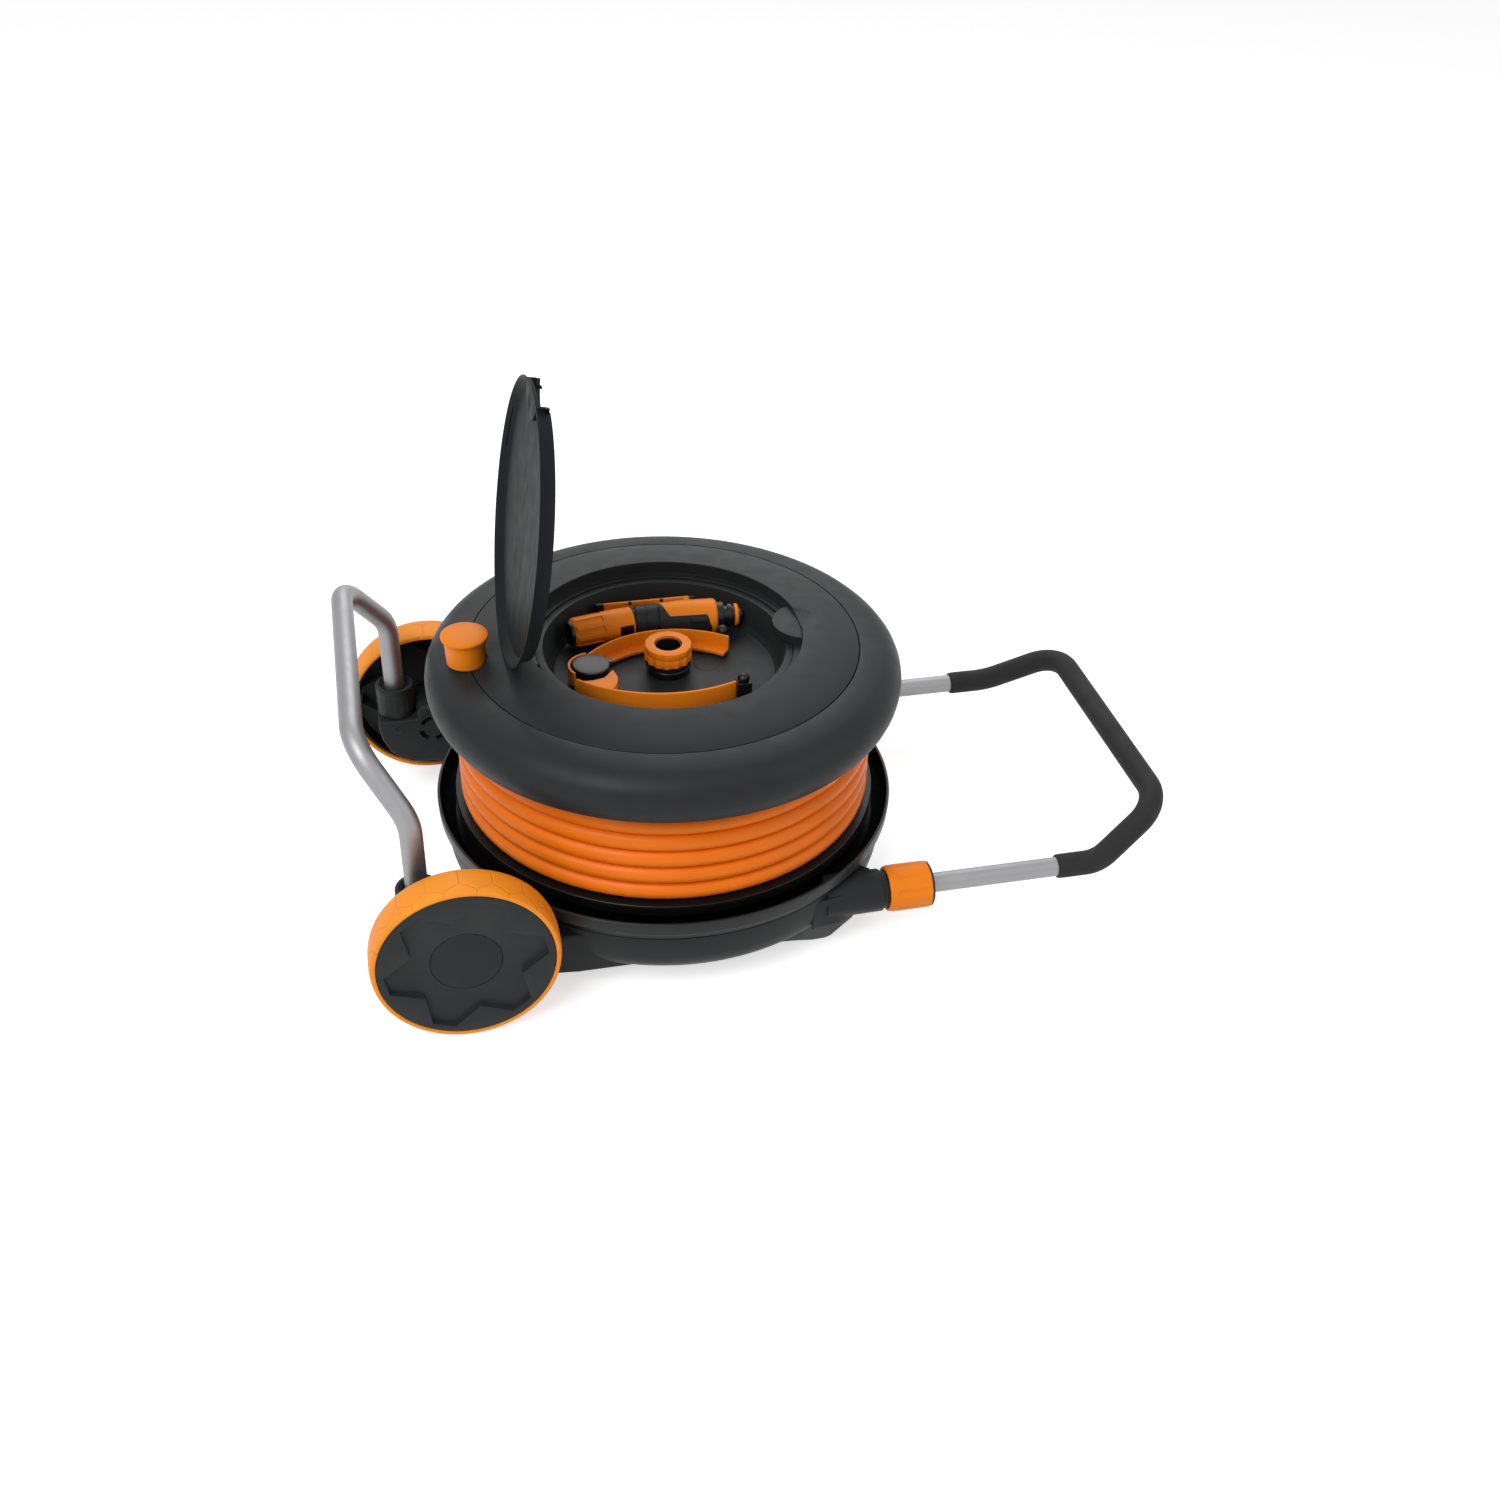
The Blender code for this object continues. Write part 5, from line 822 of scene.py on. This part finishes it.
def make_deck():
    """The deck round the bin's mouth: seam edge, ledge, thumb shelf and scoop, knob seat and hinge lugs."""
    edge = SEAM_R - 0.0003
    seam_low = DECK_SEAM_Z - 0.0030
    deck = lathe("deck", [
        (edge, DECK_SEAM_Z), (edge, seam_low - 0.0003), (0.1815, seam_low - 0.0014), (0.1790, seam_low - 0.0034),
        (0.1515, 0.2466), (0.1515, 0.2081), (0.1490, 0.2081), (0.1490, 0.2475), (0.1268, 0.2507), (0.1268, 0.2390),
        (LEDGE_IN_R, 0.2390), (LEDGE_IN_R, LEDGE_Z), (MOUTH_R, LEDGE_Z), (MOUTH_R, DECK_EDGE_Z - 0.0004),
        (MOUTH_R + 0.0006, DECK_EDGE_Z), (0.1370, 0.2528), (0.1500, 0.2508), (0.1630, 0.2481)], 192, 0.0007)
    shelf = plug(SHELF_R, SHELF.z, LEDGE_Z - 0.001, 96, SHELF_PLACE, 0.0008)
    within(shelf, MOUTH_R + 0.001, 192)
    pad = plug(0.0220, 0.2530, 0.2440, 48, Matrix.Translation((SHELF.x + 0.003, 0, 0)))
    carve(pad, lathe("limit", [(0.1480, 0.2500), (0.1480, 0.2400), (0.1252, 0.2400), (0.1252, 0.2525)], 96, 0.0),
          operation="INTERSECT")
    knob_pad = plug(0.0208, 0.2550, 0.2424, 64, KNOB_PLACE)
    carve(knob_pad, lathe("limit", [(edge - 0.0003, DECK_SEAM_Z - 0.0003), (edge - 0.0003, 0.23), (0.153, 0.23),
                                    (0.153, 0.2496)], 96, 0.0), operation="INTERSECT")
    carve(deck, shelf, pad, knob_pad, operation="UNION")
    half = 0.0040
    arm_in, arm_out = HINGE_ARM_Y - half, HINGE_ARM_Y + half
    for low, high in ((-0.0320, -arm_out), (-arm_in, arm_in), (arm_out, 0.0320)):
        carve(deck, block("lug", (HINGE.x - 0.005, low, HINGE.z - 0.0045),
                          (HINGE.x + 0.005, high, DECK_EDGE_Z - 0.0018)), operation="UNION")
    for low, high in ((-arm_out, -arm_in), (arm_in, arm_out)):
        carve(deck, block("slot", (HINGE.x - 0.0065, low, 0.2320), (-LEDGE_IN_R + 0.003, high, 0.2700)))
    dip = 0.0630
    carve(deck, ball(dip, 60, (0.1300, 0, 0.2512 + dip)), plug(0.0184, 0.27, KNOB.z - 0.0003, 72, KNOB_PLACE))
    notch(deck, (62, -118), (MOUTH_R - 0.0062, -0.0060, LEDGE_Z - 0.0012),
          (MOUTH_R - 0.0005, 0.0060, LEDGE_Z + 0.0006))
    dress(deck, "charcoal", "drum", "top_plate")


def hose_height(turn):
    """Height of the hose's centre line: level rows with a climb of one pitch in each crossing."""
    rows = int(turn / (2 * pi))
    rest = turn - rows * 2 * pi
    return HOSE_FIRST_Z + HOSE_PITCH * (rows + ease((rest - (2 * pi - CROSS_SPAN)) / CROSS_SPAN))


def hose_point(turn, radius, height):
    """A point of the hose, its angle counted from the end of a crossing."""
    return Vector((*polar(radius, CROSS_START + CROSS_SPAN + turn), height))


def make_hose():
    """The wound hose: a free end out behind, the outer layer, and its dive under at the top, over inner turns."""
    step = 2 * pi / LOOP_POINTS
    tail_steps = round(TAIL_SPAN / step)
    route = []
    for i in range(-tail_steps, 1):
        turn = i * step
        away = ease(-turn / TAIL_BEND)
        rise = TAIL_RISE * ease((-turn / (tail_steps * step) - 0.35) / 0.65)
        route.append(hose_point(turn, HOSE_LAYER_R + TAIL_OUT * away, hose_height(0.0) + rise))
    last = HOSE_TURNS * 2 * pi - CROSS_SPAN - DIVE_ANGLE
    for i in range(1, int(last / step) + 1):
        turn = i * step
        route.append(hose_point(turn, HOSE_LAYER_R, hose_height(turn)))
    heading = (route[-1] - route[-2]).normalized()
    start = route[-1]
    side = Vector((start.x, start.y, 0)).normalized()
    for i in range(1, 11):
        share = i / 10
        route.append(start + heading * (DIVE_L * share) - side * DIVE_DEPTH * share * share)
    dress(sweep("hose_layer", route, HOSE_R, 20), "hose", "drum", "hose_wound", sharp=60)
    core = UNDER_R - HOSE_R
    profile = [(core - 0.020, UNDER_TOP_Z), (core, UNDER_TOP_Z)]
    rows = 6
    pitch = (UNDER_TOP_Z - UNDER_LOW_Z) / rows
    for i in range(rows):
        middle = UNDER_TOP_Z - pitch * (i + 0.5)
        for k in range(7):
            angle = pi / 2 - pi * (k + 0.5) / 7
            profile.append((core + HOSE_R * cos(angle), middle + pitch / 2 * sin(angle)))
    profile += [(core, UNDER_LOW_Z), (core - 0.020, UNDER_LOW_Z)]
    dress(lathe("hose_under_layer", profile, 144, 0.0), "hose", "drum", "hose_inner")


def make_knob():
    """The winding knob with its domed cap."""
    base, top = KNOB.z, 0.2745
    knob = lathe("winding_knob", [
        (0.0, top), (0.0120, top - 0.0003), (0.0188, top - 0.0010), (0.0205, top - 0.0018), (0.0208, top - 0.0028),
        (0.0206, top - 0.0042), (0.0188, top - 0.0056), (0.0183, top - 0.0070), (0.0178, top - 0.0120), (0.0170, base),
        (0.0043, base), (0.0043, top - 0.0060), (0.0, top - 0.0060)], 96, 0.0005, KNOB_PLACE)
    dress(knob, "orange", "winding_knob", "knob")


def make_lid():
    """The open lid: a dished pan with a flared rim, clip slots and a pocket over the thumb shelf."""
    reach = hypot(-MOUTH_R - HINGE.x, DECK_EDGE_Z - HINGE.z) + 0.0004
    outside = []
    for i in range(9):
        height = LID_TOP_Z - (LID_TOP_Z - CUP_STEP_Z) * 0.8 * i / 8
        swing = -HINGE.x - sqrt(reach ** 2 - (height - HINGE.z) ** 2)
        outside.append((max(LID_FOOT_R, min(LID_R, swing)), height))
    foot = CUP_STEP_Z + 0.0003
    plate_top = LID_PLATE_Z + 0.0018
    lid = lathe("bin_lid", [
        (0.0, plate_top), (LID_FOOT_R - 0.0030, plate_top), (LID_FOOT_R - 0.0004, plate_top + 0.0024),
        (LID_R - 0.0026, LID_TOP_Z)] + outside + [
        (LID_FOOT_R, foot), (LID_FOOT_R - 0.0022, foot), (LID_FOOT_R - 0.0022, LID_PLATE_Z), (0.0, LID_PLATE_Z)],
        180, 0.0005)
    boss = plug(SHELF_R + 0.0036, LID_TOP_Z - 0.0004, LID_PLATE_Z + 0.0002, 96, SHELF_PLACE, 0.0008)
    within(boss, LID_R - 0.0010, 180)
    carve(lid, boss, operation="UNION")
    carve(lid, plug(SHELF_R + 0.0012, SHELF.z + 0.0010, 0.2300, 96, SHELF_PLACE),
          ball(0.0400, 40, (0.1100, 0, LID_TOP_Z + 0.0386)))
    arms = []
    for sign in (-1, 1):
        low, high = sign * HINGE_ARM_Y - 0.0030, sign * HINGE_ARM_Y + 0.0030
        arms.append(block("arm", (HINGE.x - 0.0020, low, CUP_STEP_Z + 0.0006),
                          (-LID_FOOT_R + 0.0034, high, CUP_STEP_Z + 0.0040), 0.0003))
        arms.append(lathe("barrel", [(0.0023, high), (0.0040, high), (0.0040, low), (0.0023, low)], 40, 0.0003,
                          Matrix.Translation((HINGE.x, 0, HINGE.z)) @ Matrix.Rotation(-pi / 2, 4, "X")))
    notch(lid, (64, 76), (LID_FOOT_R - 0.0012, -0.0120, 0.2500), (LID_FOOT_R + 0.0016, 0.0120, 0.2508))
    wall_in, wall_out = SHELF_R + 0.0012, SHELF_R + 0.0034
    # painted shade: the pocket wall is near black, standing in for the shadow in the lid's pocket
    wall = lathe("lid_pocket_wall", [
        (wall_out, LID_TOP_Z - 0.0012), (wall_out, LEDGE_Z + 0.0006), (wall_in, LEDGE_Z + 0.0006),
        (wall_in, LID_TOP_Z - 0.0012)], 96, 0.0, SHELF_PLACE)
    within(wall, LID_R - 0.0012, 180)
    opened = Matrix.Translation(HINGE) @ Matrix.Rotation(-LID_OPEN, 4, "Y") @ Matrix.Translation(-HINGE)
    dress(join("bin_lid", lid, *arms), "lid", "bin_lid", "lid", "lid_plate", matrix=opened)
    dress(join("lid_pocket_wall", wall), "shade", "bin_lid", matrix=opened)


def on_barrel(name, radius, lift, bounds, rows=24, columns=20):
    """A thin curved panel on a turned piece: bounds gives, for a share along it, its height and two angles."""
    verts, faces = [], []
    for layer in (lift, -0.0006):
        for i in range(rows + 1):
            height, first, last = bounds(i / rows)
            for k in range(columns + 1):
                angle = radians(first + (last - first) * k / columns)
                verts.append((*polar(radius + layer, angle), height))
    width = columns + 1
    layer_size = (rows + 1) * width
    for base in (0, layer_size):
        for i in range(rows):
            for k in range(columns):
                a = base + i * width + k
                faces.append((a, a + 1, a + width + 1, a + width))
    border = list(range(width)) + [i * width + columns for i in range(1, rows + 1)]
    border += [rows * width + k for k in range(columns - 1, -1, -1)] + [i * width for i in range(rows - 1, 0, -1)]
    for a, b in zip(border, border[1:] + border[:1]):
        faces.append((a, b, b + layer_size, a + layer_size))
    return object_of(name, verts, faces)


def make_nozzle():
    """The spray nozzle: body with a dark inlay, sleeve, coupling, head, clip and trigger bar."""
    matrix, head_matrix = [Matrix.Translation(NOZZLE) @ Matrix.Rotation(turn, 4, "Z")
                           @ Matrix.Rotation(pi / 2, 4, "Y") for turn in (NOZZLE_TURN, HEAD_TURN)]
    joint, end = 0.0115, 0.0021
    sleeve = lathe("nozzle_grip_sleeve", [
        (0.0, 0.0238), (0.0150, 0.0238), (0.0146, 0.0120), (0.0142, 0.0118), (0.0142, 0.0108), (0.0145, 0.0106),
        (0.0138, end)] + sphere_profile(joint, end, -joint, 12), 72, 0.0004, matrix)
    dress(sleeve, "charcoal", "nozzle", "nozzle_sleeve")
    barrel = lathe("nozzle_barrel", [
        (0.0, 0.0780), (NOZZLE_R - 0.0016, 0.0780), (NOZZLE_R - 0.0002, 0.0762), (NOZZLE_R, 0.0740), (NOZZLE_R, 0.0450),
        (0.0158, 0.0340), (0.0150, 0.0241), (0.0, 0.0241)], 96, 0.0002, matrix)
    dress(barrel, "orange", "nozzle", "nozzle_body")

    def inlay_bounds(share):
        height = 0.0239 + 0.0485 * share
        upper = 180 + 52 * ease(share / 0.22) if share < 0.5 else 232 + 40 * ease((share - 0.90) / 0.10)
        return height, upper, 330 - 30 * ease((share - 0.90) / 0.10)

    inlay = on_barrel("nozzle_inlay", NOZZLE_R - 0.0006, 0.0008, inlay_bounds, 60)
    dress(inlay, "charcoal", "nozzle", matrix=matrix)
    clip = on_barrel("nozzle_clip", NOZZLE_R, 0.0018, lambda share: (0.0530 + 0.0150 * share, 238, 258), 8, 8)
    bevel(clip, 0.0008, 2)
    dress(clip, "black", "nozzle", matrix=matrix)
    coupling = lathe("nozzle_hose_coupling", [
        (0.0, 0.1022), (0.0058, 0.1022), (0.0058, 0.0947), (0.0088, 0.0947), (0.0088, 0.0925), (0.0112, 0.0925),
        (0.0112, 0.0885), (0.0092, 0.0885), (0.0092, 0.0845), (0.0135, 0.0845), (0.0135, 0.0783), (0.0, 0.0783)],
        72, 0.0005, matrix)
    dress(coupling, "black", "nozzle", "nozzle_coupling")
    ring = lathe("nozzle_orange_ring", [
        (0.0092, 0.0990), (0.0105, 0.0978), (0.0105, 0.0952), (0.0061, 0.0950), (0.0061, 0.0990)], 64, 0.0005, matrix)
    dress(ring, "orange", "nozzle", "nozzle_ring")
    socket = joint + 0.0009
    head = lathe("nozzle_spray_head", sphere_profile(socket, -socket, -end, 10) + [
        (0.0138, -end), (0.0142, -0.0200), (0.0142, -HEAD_L * 0.62), (0.0139, -HEAD_L + 0.003), (0.0122, -HEAD_L),
        (0.0104, -HEAD_L), (0.0098, -HEAD_L + 0.003), (0.0, -HEAD_L + 0.003)], 72, 0.0005)
    notch(head, [22.5 + 45 * i for i in range(8)], (0.0129, -0.0032, -HEAD_L - 0.01),
          (0.02, 0.0032, -HEAD_L * 0.52), 0.0006)
    bevel(head, 0.0004, 2, 40)
    dress(head, "orange", "spray_head", "nozzle_head", matrix=head_matrix)
    window = on_barrel("nozzle_window", 0.0140, 0.0005, lambda share: (-0.0170 + 0.0130 * share, 252, 292), 8, 10)
    face = lathe("face", [
        (0.0, -HEAD_L - 0.0020), (0.0060, -HEAD_L - 0.0020), (0.0064, -HEAD_L - 0.0032), (0.0112, -HEAD_L - 0.0032),
        (0.0118, -HEAD_L - 0.0020), (0.0118, -HEAD_L - 0.0002), (0.0, -HEAD_L - 0.0002)], 64, 0.0004)
    dress(join("nozzle_face", window, face), "black", "spray_head", matrix=head_matrix)
    make_trigger()


def make_trigger():
    """The trigger bar beside the nozzle, with its dark end."""
    low, top, y = 0.2220, 0.2340, 0.0870
    bar = block("trigger_bar", (-0.0420, y, low), (0.0400, y + 0.0030, top), 0.0010)
    foot = block("trigger_foot", (0.0340, 0.0766, low + 0.0010), (0.0400, y + 0.0010, top - 0.0010), 0.0005)
    dress(join("trigger_bar", bar, foot), "orange", "trigger", "nozzle_trigger")
    tip = block("tip", (-0.0500, y - 0.0006, low + 0.0005), (-0.0410, y + 0.0034, top + 0.0006), 0.0016)
    end = block("end", (0.0395, y - 0.0002, low + 0.0010), (0.0460, y + 0.0030, top - 0.0004), 0.0010)
    marks = [block("mark", (x, y - 0.0002, top - 0.0030), (x + 0.0030, y + 0.0032, top + 0.0002), 0.0002)
             for x in (-0.0180, 0.0120)]
    dress(join("trigger_tip", tip, end, *marks), "black", "trigger")


def arc_band(name, ends, bulge, width, low, high, edge=0.0008):
    """A bowed strip between two points of the floor plan, bowed sideways by the bulge."""
    start, end = Vector(ends[0]), Vector(ends[1])
    chord = end - start
    normal = Vector((-chord.y, chord.x)).normalized()
    radius = (chord.length_squared / 4 + bulge * bulge) / (2 * abs(bulge))
    sign = 1 if bulge > 0 else -1
    centre = (start + end) / 2 + normal * (bulge - sign * radius)
    first = atan2(start.y - centre.y, start.x - centre.x)
    turn = -sign * 2 * asin(chord.length / 2 / radius)
    outer = arc(centre, radius, first, first + turn, 28)
    inner = arc(centre, radius - width, first + turn, first, 28)
    return slab(name, outer + inner, low, high, "Z", edge)


def make_sprinkler():
    """The sprinkler: two bowed legs, a hook, a dark cap disc and two dark feet."""
    low, top, leg_low = CUP_FLOOR_Z + 0.0003, SPRINKLER_TOP_Z, 0.2155
    place = Matrix.Translation(SPRINKLER)
    head = lathe("sprinkler_cap", [
        (0.0, top + 0.0012), (0.0115, top + 0.0010), (0.0160, top + 0.0003), (0.0170, top - 0.0006),
        (0.0168, top - 0.0014), (0.0158, top - 0.0022), (0.0158, low), (0.0, low)], 80, 0.0003, place)
    tab = block("tab", (0.0130, -0.0035, top - 0.0018), (0.0205, 0.0035, top), 0.0005)
    tab.matrix_world = place @ turned(12)
    dress(join("sprinkler_cap", head, tab), "black", "sprinkler", "sprinkler_head")
    first, last = radians(95), radians(215)
    wrap = slab("wrap", arc(SPRINKLER.xy, 0.0205, first, last, 24) + arc(SPRINKLER.xy, 0.0186, last, first, 24),
                leg_low, top - 0.0006)
    ends = (-0.0815, -0.0040), (0.0643, 0.0190)
    rear = arc_band("rear", ends, 0.0339, 0.0020, leg_low, top - 0.0006)
    shelf = arc_band("shelf", ends, 0.0339, 0.0115, leg_low - 0.0025, leg_low + 0.0010)
    front = arc_band("front", ((-0.0850, -0.0270), (0.0545, -0.0560)), -0.0215, 0.0024, low, top - 0.0008)
    crescent = slab("crescent", [
        (-0.0863, -0.0273), (-0.0795, -0.0285), (-0.0700, -0.0290), (-0.0591, -0.0262), (-0.0496, -0.0149),
        (-0.0471, -0.0264), (-0.0481, -0.0344), (-0.0511, -0.0413), (-0.0560, -0.0470)],
        leg_low, top - 0.0020, "Z", 0.0008)
    dress(join("sprinkler_frame", wrap, rear, shelf, front, crescent), "orange", "sprinkler", "sprinkler_legs")
    for name, box_low, box_high, tip_place in (
            ("front", (0.0548, -0.0590, low), (0.0680, -0.0480, top - 0.0025), (0.0610, -0.0535, top - 0.0005)),
            ("rear", (0.0560, 0.0258, low), (0.0655, 0.0340, top - 0.0030), (0.0600, 0.0295, top - 0.0010))):
        foot = join("sprinkler_end_" + name, block("foot", box_low, box_high, 0.0010), ball(0.0056, 16, tip_place))
        dress(foot, "black", "sprinkler", "sprinkler_foot_" + name)


def make_tap_connector():
    """The threaded tap connector with its scalloped ring."""
    low, shoulder = CUP_FLOOR_Z + 0.0003, 0.2242
    place = Matrix.Translation(TAP)
    body = lathe("tap_body", [
        (0.0125, 0.2372), (0.0125, shoulder), (0.0205, shoulder), (0.0205, 0.2205), (0.0198, 0.2200), (0.0198, 0.2192),
        (0.0205, 0.2187), (0.0205, 0.2170), (0.0200, low + 0.0030), (0.0186, low), (0.0112, low), (0.0112, 0.2372)],
        96, 0.0004, place)
    dress(body, "black", "tap_connector", "tap_connector_body")
    points = 168
    angles = [2 * pi * i / points for i in range(points)]
    tiers = []
    for bottom, top, wave in ((0.2245, 0.2322, 0.0008), (0.2328, 0.2395, 0.0002)):
        outline = [polar(0.0210 + wave * cos(14 * angle), angle) for angle in angles]
        tiers.append(slab("tier", outline, bottom, top, "Z", 0.0008, 2))
        carve(tiers[-1], plug(0.0127, 0.26, 0.20, 72))
    neck = lathe("neck", [(0.0200, 0.2335), (0.0200, 0.2315), (0.0127, 0.2315), (0.0127, 0.2335)], 96, 0.0)
    dress(join("tap_ring", neck, *tiers), "orange", "tap_connector", "tap_connector_ring", matrix=place)


make_camera()
make_stage()
make_base()
make_tray()
make_frame()
for side_name, side_sign in SIDES:
    make_wheel(side_name, side_sign)
    make_twist_collar(side_name, side_sign)
make_handle()
make_drum()
make_hose()
make_knob()
make_lid()
make_nozzle()
make_sprinkler()
make_tap_connector()
